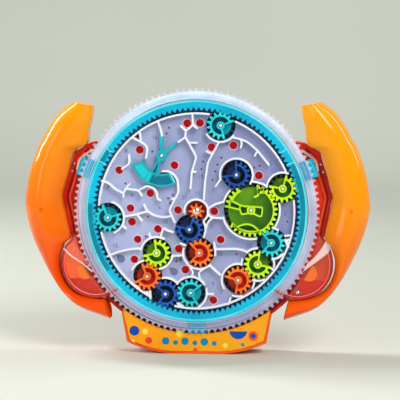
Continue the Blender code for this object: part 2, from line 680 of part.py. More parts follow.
def maze_plate():
    """The maze floor with its walls, gear wells, pins, ball holes, back lip and hub, moulded in one."""
    bore = BOSS_RADIUS + FIT_GAP
    hub_end = TRAY_FLOOR_Y - SLIDE_GAP
    profile = [
        (bore, FLOOR_Y),
        (PLATE_RADIUS, FLOOR_Y),
        (PLATE_RADIUS, LIP_FRONT_Y),
        (LIP_RADIUS, LIP_FRONT_Y),
        (LIP_RADIUS, PLATE_BACK_Y),
        (bore + HUB_WALL, PLATE_BACK_Y),
        (bore + HUB_WALL, hub_end),
        (bore, hub_end),
    ]
    plate = part("maze_plate", turned_mesh(profile, ROUND_STEPS), "lavender", WHEEL)
    paths = [[from_photo(point, MAZE_PIXEL) for point in wall] for wall in MAZE_WALLS]
    for name, radius, start, end in WELL_WALLS:
        step = 12 if name == BIG_GEAR else 24
        paths.append(arc(radius * MAZE_PIXEL, start, end, step, PLACES[name][0]))
    for start, end in OUTER_WALL_ARCS:
        paths.append(arc(MAZE_RADIUS, start, end, 9))
    sunk = FLOOR_Y + FIT_GAP
    walls = [prism_mesh([ribbon(path)], WALL_TOP_Y, sunk) for path in paths]
    shape_by(plate, walls, "UNION", True)
    wells = []
    for name in GEARS:
        reach = teeth_of(name) * MODULE / 2 + ADDENDUM + SLIDE_GAP
        wells.append(well_mesh(reach, PLACES[name][0], BIG_WELL_STEPS if name == BIG_GEAR else WELL_STEPS))
    wells.append(well_mesh(SUN_TEETH * MODULE / 2 + ADDENDUM + SUN_WELL_GAP, (0.0, 0.0), WELL_STEPS))
    shape_by(plate, wells, "DIFFERENCE", True)
    holes = []
    for hole in BALL_HOLES:
        centre = from_photo(hole, MAZE_PIXEL)
        holes.append(cylinder_mesh(BALL_HOLE_RADIUS, WINDOW_FRONT_Y, -WINDOW_FRONT_Y, centre, SMALL_STEPS))
    shape_by(plate, holes, "DIFFERENCE")
    centres = [PLACES[name][0] for name in GEARS] + [from_photo(LEVER_PIVOT_PX, MAZE_PIXEL)]
    sink = WELL_FLOOR_Y + FIT_GAP
    pins = [cylinder_mesh(PIN_RADIUS, WALL_TOP_Y, sink, centre, SCREW_STEPS) for centre in centres]
    shape_by(plate, pins, "UNION")
    finish_smooth(plate)


def wheel_cover():
    """The clear window and its toothed thumb rim."""
    band = RIM_ROOT_RADIUS - RIM_BAND
    profile = [
        (0.0, WINDOW_FRONT_Y),
        (RIM_INNER_RADIUS + WINDOW_CHAMFER, WINDOW_FRONT_Y),
        (band + WINDOW_CHAMFER, RIM_FRONT_Y + FIT_GAP),
        (band + WINDOW_CHAMFER, RIM_BACK_Y - FIT_GAP),
        (RIM_INNER_RADIUS, RIM_BACK_Y - FIT_GAP),
        (RIM_INNER_RADIUS, WINDOW_BACK_Y),
        (0.0, WINDOW_BACK_Y),
    ]
    cover = part("clear_cover", turned_mesh(profile, ROUND_STEPS), "clear", WHEEL)
    step = 360 / RIM_TEETH
    teeth = []
    for k in range(RIM_TEETH):
        teeth.append(polar(RIM_TIP_RADIUS, k * step))
        teeth.append(polar(RIM_ROOT_RADIUS, (k + 0.5) * step))
    rim = prism_mesh([teeth, circle(band, ROUND_STEPS)], RIM_FRONT_Y, RIM_BACK_Y)
    shape_by(cover, [rim], "UNION")
    finish_smooth(cover)


def ring_gear():
    """The fixed internal gear with three lugs that sit on the tray."""
    outer = circle(RING_OUTER_RADIUS, ROUND_STEPS)
    ring = part("ring_gear", prism_mesh([outer, ring_outline()], RING_FRONT_Y, RING_BACK_Y), "cyan", FRAME)
    lugs = []
    holes = []
    for angle in LUG_ANGLES.values():
        root = RING_OUTER_RADIUS - RING_WALL / 2
        lug = [
            beside(root, angle, -LUG_WIDTH / 2),
            beside(LUG_REACH, angle, -LUG_WIDTH / 2),
            beside(LUG_REACH, angle, LUG_WIDTH / 2),
            beside(root, angle, LUG_WIDTH / 2),
        ]
        lugs.append(prism_mesh([lug], LUG_FRONT_Y, LUG_BACK_Y))
        at = polar(LUG_SCREW_RADIUS, angle)
        holes.append(cylinder_mesh(SCREW_RADIUS + FIT_GAP, LUG_BACK_Y - SCREW_IN_LUG, RING_BACK_Y, at))
    shape_by(ring, lugs, "UNION")
    shape_by(ring, holes, "DIFFERENCE")


def box_bottom(x, border):
    """Height of the label box's underside: a flat land, then a curve up to its corners."""
    half = BOX_BOTTOM_HALF_WIDTH - border
    rise = BOX_CORNER_RISE * max(0.0, (abs(x) - LAND_HALF_WIDTH) / (half - LAND_HALF_WIDTH)) ** 2
    return -WHEEL_Z + border + rise


def box_outline(border, top_radius):
    """The label box seen from the front, drawn in by border from its sides and bottom."""
    half = BOX_BOTTOM_HALF_WIDTH - border
    low = (half, box_bottom(half, border))
    x = BOX_TOP_HALF_WIDTH - border
    z = -math.sqrt(BOX_TOP_RADIUS**2 - x * x)
    length = math.dist(low, (x, z))
    up = ((x - low[0]) / length, (z - low[1]) / length)
    along = x * up[0] + z * up[1]
    rise = -along - math.sqrt(along**2 - BOX_TOP_RADIUS**2 + top_radius**2)
    end = math.degrees(math.atan2(z + rise * up[1], x + rise * up[0]))
    points = arc(top_radius, end, -180 - end, 6)
    for share in (-1.0, -0.82, -0.64, -0.46):
        points.append((share * half, box_bottom(share * half, border)))
    points.append((-LAND_HALF_WIDTH, -WHEEL_Z + border))
    return points + mirrored(points[-5:])


def tray_outline():
    """The tray seen from the front: a top arc, two shoulders, two pockets and a bottom arc."""
    apart = math.hypot(POCKET_X, POCKET_Z)
    meets = (TRAY_BOTTOM_RADIUS**2 + apart**2 - POCKET_RADIUS**2) / (2 * TRAY_BOTTOM_RADIUS * apart)
    pocket_way = math.degrees(math.atan2(POCKET_Z, -POCKET_X))
    meet_angle = pocket_way + math.degrees(math.acos(meets))
    meet = polar(TRAY_BOTTOM_RADIUS, meet_angle)
    shoulder = [from_photo(point) for point in SHOULDER_PX]
    centre = (-POCKET_X, POCKET_Z)
    start = math.degrees(math.atan2(shoulder[-1][1] - centre[1], shoulder[-1][0] - centre[0]))
    end = math.degrees(math.atan2(meet[1] - centre[1], meet[0] - centre[0])) % 360
    left = arc(TRAY_TOP_RADIUS, 90, TOP_ARC_END, 6)[1:] + shoulder[:-1]
    left += arc(POCKET_RADIUS, start, end, 15, centre)
    left += arc(TRAY_BOTTOM_RADIUS, meet_angle % 360, 270, 6)[1:-1]
    bottom = [(0.0, -TRAY_BOTTOM_RADIUS)]
    return [(0.0, TRAY_TOP_RADIUS)] + left + bottom + mirrored(left)


def pocket_outline(radius, wall_radius, side):
    """The part of a pocket's circle that lies outside the wheel's rim, drawn for one side."""
    apart = math.hypot(POCKET_X, POCKET_Z)
    from_pocket = (radius**2 + apart**2 - wall_radius**2) / (2 * radius * apart)
    from_axle = (wall_radius**2 + apart**2 - radius**2) / (2 * wall_radius * apart)
    inward = math.degrees(math.atan2(-POCKET_Z, -POCKET_X))
    outward = math.degrees(math.atan2(POCKET_Z, POCKET_X))
    spread = math.degrees(math.acos(from_pocket))
    reach = math.degrees(math.acos(from_axle))
    points = arc(radius, inward + spread - 360, inward - spread, 12, (POCKET_X, POCKET_Z))
    points += arc(wall_radius, outward + reach, outward - reach, 6)[1:-1]
    return points if side > 0 else mirrored(points)


def back_tray():
    """The red tray: a floor, a deep rim, two ball pockets, a centre boss and the label box."""
    tray = part("back_tray", prism_mesh([tray_outline()], TRAY_FRONT_Y, TRAY_BACK_Y), "red", FRAME)
    box = prism_mesh([box_outline(0.0, BOX_TOP_RADIUS)], BOX_FRONT_Y, BOX_BACK_Y)
    shape_by(tray, [box], "UNION")
    cuts = [cylinder_mesh(TRAY_INNER_RADIUS, BOX_FRONT_Y, TRAY_FLOOR_Y, (0.0, 0.0), ROUND_STEPS)]
    seat = RING_OUTER_RADIUS + FIT_GAP
    cuts.append(cylinder_mesh(seat, BOX_FRONT_Y, RING_BACK_Y + FIT_GAP, (0.0, 0.0), ROUND_STEPS))
    for side in (-1, 1):
        pocket = pocket_outline(POCKET_INNER_RADIUS, POCKET_REACH, side)
        cuts.append(prism_mesh([pocket], BOX_FRONT_Y, POCKET_FLOOR_Y))
    label = box_outline(LABEL_BORDER, BOX_TOP_RADIUS - LABEL_RECESS)
    cuts.append(prism_mesh([label], BOX_FRONT_Y - LABEL_RECESS, BOX_FRONT_Y + LABEL_RECESS))
    hollow = box_outline(BOX_WALL, TRAY_BOTTOM_RADIUS + BOX_WALL)
    cuts.append(prism_mesh([hollow], BOX_FRONT_Y + LABEL_RECESS + BOX_WALL, BOX_BACK_Y + BOX_WALL))
    for angle in LUG_ANGLES.values():
        at = polar(LUG_SCREW_RADIUS, angle)
        cuts.append(cylinder_mesh(SCREW_RADIUS + FIT_GAP, BOX_FRONT_Y, BOX_BACK_Y, at))
        seat = TRAY_BACK_Y - SCREW_HEAD_HEIGHT - FIT_GAP
        cuts.append(cylinder_mesh(SCREW_HEAD_RADIUS + FIT_GAP, seat, BOX_BACK_Y, at))
    shape_by(tray, cuts, "DIFFERENCE", True)
    boss = prism_mesh(
        [circle(BOSS_RADIUS, 24), circle(CENTRE_PIN_RADIUS + FIT_GAP, SMALL_STEPS)],
        BOSS_FRONT_Y,
        TRAY_FLOOR_Y + TRAY_FLOOR / 2,
    )
    shape_by(tray, [boss], "UNION")


def pocket_hood(side, name):
    """The clear red cover over one ball pocket, open to the tray behind it."""
    outside = pocket_outline(POCKET_RADIUS, POCKET_WALL_RADIUS, side)
    hood = part(name, prism_mesh([outside], HOOD_FRONT_Y, HOOD_BACK_Y), "red", FRAME)
    inside = pocket_outline(POCKET_INNER_RADIUS, POCKET_REACH, side)
    shape_by(hood, [prism_mesh([inside], HOOD_FRONT_Y + HOOD_THICKNESS, BALL_RADIUS)], "DIFFERENCE")


def pocket_post(side, name):
    """The round post in a pocket, cut off where the wheel's rim passes."""
    front = HOOD_FRONT_Y + HOOD_THICKNESS + FIT_GAP
    centre = (side * POST_X, POST_Z)
    post = cylinder_mesh(POST_RADIUS, front, POCKET_FLOOR_Y - FIT_GAP, centre, 20)
    made = part(name, post, "orange_shell", FRAME)
    rim = cylinder_mesh(POCKET_REACH + FIT_GAP, front - BALL_RADIUS, POCKET_FLOOR_Y, (0.0, 0.0), 144)
    shape_by(made, [rim], "DIFFERENCE")


def label_plate():
    """The orange label plate let into the front of the box, up to the wheel's thumb teeth."""
    outline = box_outline(LABEL_BORDER + FIT_GAP, RIM_TIP_RADIUS + SWEEP_GAP)
    back = BOX_FRONT_Y + LABEL_RECESS - FIT_GAP
    part("label_plate", prism_mesh([outline], back - LABEL_THICKNESS, back), "label", FRAME)


def handle_section(station, inset):
    """One cross-section as (x, z, depth) corners, drawn in by inset for the hollow inside."""
    outer, ridge, inner = [from_photo(point) for point in station[:3]]
    share = station[3]
    width = math.dist(outer, inner)
    across = ((inner[0] - outer[0]) / width, (inner[1] - outer[1]) / width)

    def spot(base, along, depth):
        return (base[0] + along * across[0], base[1] + along * across[1], depth)

    top = share * HALF_DEPTH
    edges = (share * OUTER_EDGE_DEPTH, share * INNER_EDGE_DEPTH)
    half = RIDGE_HALF_WIDTH
    seam = SEAM_GAP / 2
    if not inset:
        return [
            spot(outer, 0.0, seam),
            spot(outer, 0.0, edges[0]),
            spot(ridge, -half, top),
            spot(ridge, half, top),
            spot(inner, 0.0, edges[1]),
            spot(inner, 0.0, seam),
        ]
    slopes = [(top - edge) / (math.dist(ridge, end) - half) for edge, end in zip(edges, (outer, inner))]
    drops = [inset * math.hypot(1.0, slope) for slope in slopes]
    peak = min(top + half * slope - drop for slope, drop in zip(slopes, drops))
    low = [edge + inset * slope - drop for edge, slope, drop in zip(edges, slopes, drops)]
    return [
        spot(outer, inset, -inset),
        spot(outer, inset, low[0]),
        spot(ridge, 0.0, min(peak, top - inset)),
        spot(inner, -inset, low[1]),
        spot(inner, -inset, -inset),
    ]


def between(first, second, share):
    """The handle station a share of the way from the first to the second."""
    points = []
    for a, b in zip(first[:3], second[:3]):
        points.append((a[0] + (b[0] - a[0]) * share, a[1] + (b[1] - a[1]) * share))
    return (*points, first[3] + (second[3] - first[3]) * share)


def handle_mesh(side, face, inset):
    """A handle half as a closed solid: side -1 left or 1 right, face -1 front or 1 back."""
    stations = list(HANDLE_STATIONS)
    if inset:
        ends = [(stations[0], stations[1]), (stations[-1], stations[-2])]
        moved = [between(a, b, inset / PIXEL / math.dist(a[1], b[1])) for a, b in ends]
        stations = [moved[0]] + stations[1:-1] + [moved[1]]
    rows = [handle_section(station, inset) for station in stations]
    points = [(-side * x, face * depth, z) for row in rows for x, z, depth in row]
    width = len(rows[0])
    faces = []
    for i in range(len(rows) - 1):
        for j in range(width):
            k = (j + 1) % width
            faces.append((i * width + j, i * width + k, (i + 1) * width + k, (i + 1) * width + j))
    faces.append(tuple(range(width))[::-1])
    faces.append(tuple(range(len(points) - width, len(points))))
    if side * face > 0:
        faces = [corners[::-1] for corners in faces]
    mesh = bpy.data.meshes.new("handle")
    mesh.from_pydata(points, [], faces)
    shape = bmesh.new()
    shape.from_mesh(mesh)
    bmesh.ops.triangulate(shape, faces=shape.faces)
    shape.to_mesh(mesh)
    shape.free()
    return mesh


def screw(name, at, head_y, tip_y):
    """A pan-head screw with its head at the back."""
    profile = [
        (0.0, tip_y),
        (SCREW_RADIUS, tip_y + SCREW_RADIUS),
        (SCREW_RADIUS, head_y),
        (SCREW_HEAD_RADIUS, head_y),
        (SCREW_HEAD_RADIUS, head_y + SCREW_HEAD_HEIGHT * 0.6),
        (SCREW_HEAD_RADIUS * 0.6, head_y + SCREW_HEAD_HEIGHT),
        (0.0, head_y + SCREW_HEAD_HEIGHT),
    ]
    made = part(name, turned_mesh(profile, SCREW_STEPS), "steel", FRAME, at)
    finish_smooth(made)


def handles():
    """Two hollow handles, each a front and a back shell held by two screws from behind."""
    hole = SCREW_RADIUS + FIT_GAP
    well = SCREW_HEAD_RADIUS + FIT_GAP
    head_y = HALF_DEPTH / 2
    blind_end = 2 * HANDLE_WALL - HALF_DEPTH
    past = HALF_DEPTH + HANDLE_WALL
    for side, word in ((-1, "left"), (1, "right")):
        places = {}
        for spot, at in HANDLE_SCREWS_PX.items():
            x, z = from_photo(at)
            places[spot] = (-side * x, z)
        ats = places.values()
        for face, half in ((-1, "front"), (1, "back")):
            shell = part(f"{word}_handle_{half}", handle_mesh(side, face, 0.0), "orange_shell", FRAME)
            if face < 0:
                cuts = [cylinder_mesh(hole, blind_end, SEAM_GAP, at) for at in ats]
            else:
                cuts = [cylinder_mesh(well, head_y, past, at) for at in ats]
                cuts += [cylinder_mesh(hole, -SEAM_GAP, head_y + FIT_GAP, at) for at in ats]
            shape_by(shell, cuts, "DIFFERENCE", face > 0)
            radius = SCREW_POST_RADIUS if face < 0 else well + HANDLE_WALL
            posts = [cylinder_mesh(radius, -past, past, at) for at in ats]
            hollow = shape_by(shell, [handle_mesh(side, face, HANDLE_WALL)], "DIFFERENCE")
            shape_by(hollow, posts, "DIFFERENCE")
        for spot, at in places.items():
            screw(f"{word}_handle_screw_{spot}", at, head_y + FIT_GAP, blind_end + FIT_GAP)


def centre_parts():
    """The fixed sun pinion on the tray's boss, and the steel pin that holds it."""
    front = GEAR_FRONT_Y + CENTRE_HEAD_HEIGHT + FIT_GAP
    bore = circle(CENTRE_PIN_RADIUS + FIT_GAP, SMALL_STEPS)
    part("sun_pinion", prism_mesh([gear_outline(SUN_TEETH), bore], front, GEAR_BACK_Y), "orange", FRAME)
    head = front - FIT_GAP
    profile = [
        (0.0, head - CENTRE_HEAD_HEIGHT),
        (CENTRE_HEAD_RADIUS * 0.6, head - CENTRE_HEAD_HEIGHT),
        (CENTRE_HEAD_RADIUS, head - CENTRE_HEAD_HEIGHT * 0.4),
        (CENTRE_HEAD_RADIUS, head),
        (CENTRE_PIN_RADIUS, head),
        (CENTRE_PIN_RADIUS, TRAY_FLOOR_Y - FIT_GAP),
        (0.0, TRAY_FLOOR_Y - FIT_GAP),
    ]
    pin = part("centre_pin", turned_mesh(profile, SMALL_STEPS), "steel", FRAME)
    finish_smooth(pin)


def lug_screws():
    head = TRAY_BACK_Y - SCREW_HEAD_HEIGHT
    tip = LUG_BACK_Y - SCREW_IN_LUG + FIT_GAP
    for word, angle in LUG_ANGLES.items():
        screw(f"ring_screw_{word}", polar(LUG_SCREW_RADIUS, angle), head, tip)


def swing_lever():
    """The swinging weight: two arms up, a forked strut down and a weight shaped as part of a ring."""
    back = FLOOR_Y - SLIDE_GAP
    pivot = from_photo(LEVER_PIVOT_PX, MAZE_PIXEL)
    low, high = LEVER_WEIGHT
    weight = arc(LEVER_OUTER_RADIUS, low, high, 12) + arc(LEVER_INNER_RADIUS, high, low, 16)
    mesh = prism_mesh([weight], GEAR_FRONT_Y, back)
    lever = part("swing_lever", mesh, "teal", WHEEL, pivot)
    reach = LEVER_INNER_RADIUS + LEVER_RECESS_BORDER
    ends = [polar(LEVER_ARM_LENGTH, angle) for angle in LEVER_ARMS]
    ends += [polar(reach, angle) for angle in LEVER_STRUTS]
    bars = [ribbon([(0.0, 0.0), end], LEVER_ARM_WIDTH) for end in ends]
    solids = [prism_mesh([bar], GEAR_FRONT_Y + FIT_GAP, back - FIT_GAP) for bar in bars]
    solids.append(cylinder_mesh(LEVER_HUB_RADIUS, GEAR_FRONT_Y, back, (0.0, 0.0), 8))
    shape_by(lever, solids, "UNION", True)
    border = LEVER_RECESS_BORDER
    first, last = LEVER_RECESS_SPAN
    recess = arc(LEVER_OUTER_RADIUS - border, first, last, 12)
    recess += arc(LEVER_INNER_RADIUS + border, last, first, 16)
    cuts = [prism_mesh([recess], GEAR_FRONT_Y - border, GEAR_FRONT_Y + LEVER_RECESS)]
    cuts.append(cylinder_mesh(PIN_HOLE_RADIUS, WINDOW_FRONT_Y, -WINDOW_FRONT_Y))
    shape_by(lever, cuts, "DIFFERENCE")


def steel_ball():
    """The ball at the lowest point of the right pocket, turning about the pocket's centre."""
    mesh = bpy.data.meshes.new("steel_ball")
    shape = bmesh.new()
    bmesh.ops.create_uvsphere(shape, u_segments=12, v_segments=8, radius=BALL_RADIUS)
    bmesh.ops.translate(shape, verts=shape.verts, vec=(0.0, BALL_Y, -BALL_PATH_RADIUS))
    shape.to_mesh(mesh)
    shape.free()
    ball = part("steel_ball", mesh, "steel", FRAME, (POCKET_X, POCKET_Z))
    ball.data.shade_smooth()


clear_scene()
PARTS = collection("gear_maze_board")
CUTTERS = collection("cutters")
FRAME = empty("frame_centre")
WHEEL = empty("wheel_centre")
PLACES = gear_places()

back_tray()
for hood_side, hood_word in ((-1, "left"), (1, "right")):
    pocket_hood(hood_side, f"{hood_word}_pocket_hood")
    pocket_post(hood_side, f"{hood_word}_pocket_post")
label_plate()
handles()
ring_gear()
lug_screws()
centre_parts()
maze_plate()
wheel_cover()
for gear_name in GEARS:
    if gear_name == BIG_GEAR:
        big_gear(gear_name)
    else:
        small_gear(gear_name)
swing_lever()
steel_ball()
merge_flats()
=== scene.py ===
# %% [markdown]
# # A gear maze board
#
# A clear wheel with thumb teeth carries a lavender maze plate and fourteen gears.  Behind it stands a red
# tray with two ball pockets, a label box as its foot and two orange handles.  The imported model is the
# frame: it says where every piece is and what moves.  This script makes the pieces' looks around it.
#
# Units are metres, +X right, +Y to the back, +Z up.  Flat shapes are drawn as (x, z) from the wheel's
# axle, so one function lifts them all to their height above the ground.

# %% The frame
import math

import bmesh
import bpy
import numpy as np
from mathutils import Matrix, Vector


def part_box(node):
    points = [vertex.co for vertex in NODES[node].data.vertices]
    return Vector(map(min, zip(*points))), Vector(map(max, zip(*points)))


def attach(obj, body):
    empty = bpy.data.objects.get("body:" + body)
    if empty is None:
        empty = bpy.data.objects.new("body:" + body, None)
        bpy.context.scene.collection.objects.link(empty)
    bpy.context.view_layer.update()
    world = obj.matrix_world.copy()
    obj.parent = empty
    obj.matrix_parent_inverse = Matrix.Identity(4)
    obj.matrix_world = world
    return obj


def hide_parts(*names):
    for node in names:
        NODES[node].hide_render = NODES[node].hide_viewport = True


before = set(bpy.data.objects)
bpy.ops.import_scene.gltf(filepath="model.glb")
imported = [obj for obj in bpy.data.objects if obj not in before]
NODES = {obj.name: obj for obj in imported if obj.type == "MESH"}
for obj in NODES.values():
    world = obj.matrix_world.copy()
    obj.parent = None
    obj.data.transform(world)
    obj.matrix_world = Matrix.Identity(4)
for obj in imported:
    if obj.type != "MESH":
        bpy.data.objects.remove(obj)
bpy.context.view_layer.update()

MM = 0.001
TINY = 1e-12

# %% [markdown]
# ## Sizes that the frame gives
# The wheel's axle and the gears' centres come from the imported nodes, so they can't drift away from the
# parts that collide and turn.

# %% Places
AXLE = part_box("sun_pinion")
AXLE_Z = (AXLE[0][2] + AXLE[1][2]) / 2
GEAR_NAMES = sorted(name for name in NODES if name.startswith("gear_"))


def corners_of(name):
    """A node's own corners as (x, y, z) from the wheel's axle."""
    points = np.empty(len(NODES[name].data.vertices) * 3)
    NODES[name].data.vertices.foreach_get("co", points)
    return points.reshape(-1, 3) - (0.0, 0.0, AXLE_Z)


def centre_of(name):
    """The middle of a node's box as (x, z) from the wheel's axle."""
    low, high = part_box(name)
    return np.array([(low[0] + high[0]) / 2, (low[2] + high[2]) / 2 - AXLE_Z])


def gear_facts(name):
    """A gear's centre, tip radius and the angle at which its raised teeth start.

    The front teeth leave one side open.  The angles of the tips, in order, have their widest step there.
    """
    points = corners_of(name)
    front = points[points[:, 1] < points[:, 1].min() + 0.05 * MM]
    centre = centre_of(name)
    reach = np.hypot(*(points[:, [0, 2]] - centre).T).max()
    away = front[:, [0, 2]] - centre
    tips = away[np.hypot(*away.T) > reach - 0.1 * MM]
    angles = np.sort(np.degrees(np.arctan2(tips[:, 1], tips[:, 0])) % 360)
    gaps = np.diff(np.append(angles, angles[0] + 360))
    widest = int(gaps.argmax())
    return centre, reach, angles[widest] + gaps[widest]


facts = {name: gear_facts(name) for name in GEAR_NAMES}
for name, (centre, reach, start) in facts.items():
    print(f"{name}: centre {centre / MM} mm, radius {reach / MM:.2f} mm, teeth from {start % 360:.1f}")


# %% [markdown]
# ## Sizes read from the photograph
# The maze's walls, holes and dots are small and many.  They are kept as picture points, and one scale
# turns them into metres: the axle is at (197, 210.5) and the maze's radius is 98.1 points.

# %% Drawing of the maze
AXLE_PX = (197.0, 210.5)
MAZE_SCALE = 56.75 * MM / 98.1
BOARD_SCALE = 200.0 * MM / 343.6

# Each row is one wall's path.
WALLS = [
    [(158.8, 121.0), (161.3, 127.6), (162.8, 134.8)],
    [(133.4, 136.8), (142.3, 141.5), (147.2, 145.1), (148.1, 148.2), (146.8, 157.1)],
    [(140.6, 131.4), (141.4, 140.4)],
    [(129.6, 154.5), (130.3, 162.5), (122.7, 168.3)],
    [(193.2, 113.2), (193.9, 123.9), (197.6, 127.3)],
    [(193.5, 124.0), (186.7, 130.2), (181.6, 125.0)],
    [(186.7, 129.8), (185.9, 136.5), (189.6, 141.7), (197.1, 156.0), (192.8, 170.4), (191.3, 187.4)],
    [(186.3, 136.0), (179.3, 141.1)],
    [(189.2, 141.7), (197.6, 141.7)],
    [(192.5, 170.8), (196.4, 170.8)],
    [(219.5, 141.6), (213.1, 153.1), (208.6, 161.8), (205.9, 180.0), (204.6, 198.5)],
    [(207.4, 150.3), (213.5, 153.3)],
    [(232.6, 136.0), (240.8, 137.8), (248.5, 141.0), (257.4, 148.7), (269.5, 163.3)],
    [(241.5, 138.4), (242.6, 142.6), (241.5, 146.4)],
    [(258.0, 149.6), (255.5, 154.4)],
    [(221.0, 178.6), (216.6, 185.0)],
    [(223.9, 200.9), (215.3, 203.3), (209.6, 206.8), (208.2, 211.0), (209.6, 214.6), (213.2, 216.7),
     (223.0, 217.2)],
    [(213.4, 216.9), (209.6, 220.2), (207.5, 224.4), (205.4, 233.4)],
    [(273.4, 226.2), (279.0, 228.6)],
    [(163.4, 170.2), (169.4, 170.2), (175.0, 173.6), (178.4, 179.4), (179.3, 190.8), (169.8, 209.8),
     (175.5, 221.6)],
    [(176.7, 197.1), (172.7, 198.3)],
    [(102.0, 180.4), (108.9, 182.2), (115.3, 188.5), (124.1, 192.7), (123.6, 196.5)],
    [(123.7, 193.0), (126.2, 188.0), (130.2, 183.4)],
    [(125.8, 188.0), (139.4, 189.7), (142.2, 194.9)],
    [(139.2, 189.9), (147.4, 184.8), (154.9, 187.4), (157.7, 192.0), (157.7, 197.7), (161.2, 199.7)],
    [(122.4, 225.2), (126.2, 228.3)],
    [(124.2, 216.2), (137.1, 213.8), (147.8, 210.7)],
    [(144.5, 204.0), (147.4, 210.4), (154.9, 214.9), (163.5, 216.7), (172.6, 215.2)],
    [(137.4, 213.6), (142.2, 220.1)],
    [(160.9, 236.6), (164.1, 227.0), (167.5, 229.9), (173.8, 231.4)],
    [(150.9, 237.2), (149.7, 233.3)],
    [(141.4, 248.3), (131.3, 248.8), (118.7, 251.7), (107.6, 256.4)],
    [(172.4, 255.9), (183.4, 254.6)],
    [(191.4, 267.4), (193.9, 271.5), (192.8, 275.6)],
    [(204.2, 268.4), (199.2, 272.3), (201.0, 279.4)],
    [(208.0, 293.9), (213.9, 293.9)],
    [(211.1, 265.4), (221.2, 274.2)],
    [(216.0, 248.5), (235.8, 247.9), (243.3, 248.9), (248.6, 251.4)],
    [(216.3, 248.7), (214.8, 241.9)],
    [(286.0, 238.4), (289.4, 245.6)],
    [(285.8, 234.4), (290.4, 234.0)],
    [(282.2, 253.4), (278.0, 257.0)],
    [(272.6, 267.4), (275.4, 269.4)],
    [(231.6, 297.6), (229.3, 304.0)],
    [(131.4, 283.0), (139.6, 288.6)],
    [(150.4, 291.6), (150.8, 298.8)],
    [(178.2, 303.4), (182.4, 307.0)],
]
# A gear's name, the wall's radius about it in picture points, and its first and last angle.
WELL_WALLS = [
    ("gear_teal_top", 16.4, 212, 321),
    ("gear_blue_top", 16.4, -32, 197),
    ("gear_lime_big", 28.8, 57, 90),
    ("gear_lime_big", 28.8, 137, 163),
    ("gear_lime_big", 28.8, 195, 281),
    ("gear_lime_big", 28.8, -36, 14),
    ("gear_lime_right", 16.2, 71, 174),
    ("gear_teal_right", 16.4, -86, -42),
    ("gear_lime_low", 16.4, 92, 126),
    ("gear_lime_low", 16.4, -9, 24),
    ("gear_lime_low", 16.4, 253, 292),
    ("gear_lime_low", 16.4, 162, 182),
    ("gear_orange_low", 16.4, 76, 211),
    ("gear_orange_low", 16.4, -29, 4),
    ("gear_orange_low", 16.4, 250, 283),
    ("gear_blue_centre", 16.2, -27, 28),
    ("gear_blue_centre", 16.2, 237, 256),
    ("gear_orange_centre", 16.2, 165, 312),
    ("gear_orange_centre", 16.2, -8, 22),
    ("gear_teal_left", 16.4, -66, 75),
    ("gear_lime_left", 16.2, 62, 168),
    ("gear_lime_left", 16.2, -79, -8),
    ("gear_orange_left", 16.2, 103, 157),
    ("gear_blue_bottom", 16.4, 41, 100),
    ("gear_teal_bottom", 16.3, 32, 146),
    ("gear_teal_bottom", 16.4, -60, 13),
    ("sun_pinion", 12.0, -48, 186),
]
OUTER_WALL_ARCS = [(82.5, 176.5), (193.0, 242.0), (257.5, 366.5), (23.0, 66.5)]
BALL_HOLES = [
    (187.5, 122.5), (200.3, 122.1), (212.0, 146.4), (233.9, 144.5), (139.8, 149.2),
    (174.8, 164.6), (118.9, 169.8), (259.4, 174.5), (150.3, 192.9), (130.2, 208.1),
    (178.2, 209.7), (214.8, 210.7), (131.7, 221.9), (157.8, 229.1), (137.3, 239.7),
    (221.1, 239.3), (179.0, 249.0), (133.9, 260.1), (185.7, 270.0), (213.8, 300.8),
]
DOTS = [
    (169.3, 127.1), (166.7, 132.8), (152.5, 151.0), (203.7, 160.9), (201.9, 168.4), (221.9, 156.9),
    (217.9, 163.8), (216.1, 170.6), (213.0, 179.1), (254.7, 166.6), (260.0, 165.0), (125.4, 183.2),
    (168.3, 198.0), (173.2, 194.5), (170.7, 202.8), (148.1, 216.4), (145.6, 236.6), (288.1, 220.6),
    (237.3, 253.8),
]
LEVER_PIVOT_PX = (162.4, 154.7)
NUMBERS = [
    (107.7, 188.1, "7"), (132.0, 195.5, "9"), (159.7, 207.5, "6"), (165.0, 222.0, "10"),
    (114.7, 246.5, "15"), (184.7, 197.0, "21"), (198.0, 193.0, "11"), (212.0, 226.0, "3"),
    (220.4, 254.0, "13"), (249.7, 245.4, "18"), (213.5, 284.0, "4"), (286.0, 213.0, "2"),
    (271.0, 163.0, "5"), (274.0, 169.5, "12"), (126.0, 150.5, "8"), (155.0, 137.0, "16"),
    (226.0, 143.0, "14"), (205.0, 136.0, "17"), (201.0, 176.0, "19"),
]
DARK_NUMBER = (178.5, 260.0, "24")
# Gaps beside the wells that are filled with painted shade.
SHADED_GAPS = [
    [(273.5, 262.0), (277.0, 257.5), (284.0, 254.5), (280.5, 261.5), (276.0, 267.5)],
    [(253.0, 282.0), (261.5, 281.5), (263.0, 280.8), (258.0, 286.0), (252.5, 289.0)],
    [(232.0, 299.5), (236.0, 297.5), (237.0, 299.0), (231.5, 301.0)],
    [(203.0, 223.0), (207.0, 218.0), (210.0, 217.5), (208.0, 220.5), (205.5, 225.0)],
]
WHITE_GAPS = [
    [(285.5, 238.5), (290.5, 237.0), (286.8, 246.5)],
    [(175.2, 307.0), (180.5, 302.5), (185.5, 307.4)],
    [(143.5, 292.0), (150.4, 291.8), (150.4, 297.8)],
]
TEARDROPS_PX = [(120.7, 259.7), (174.3, 272.2)]
DEEP_DOT_PX = (137.9, 135.7)
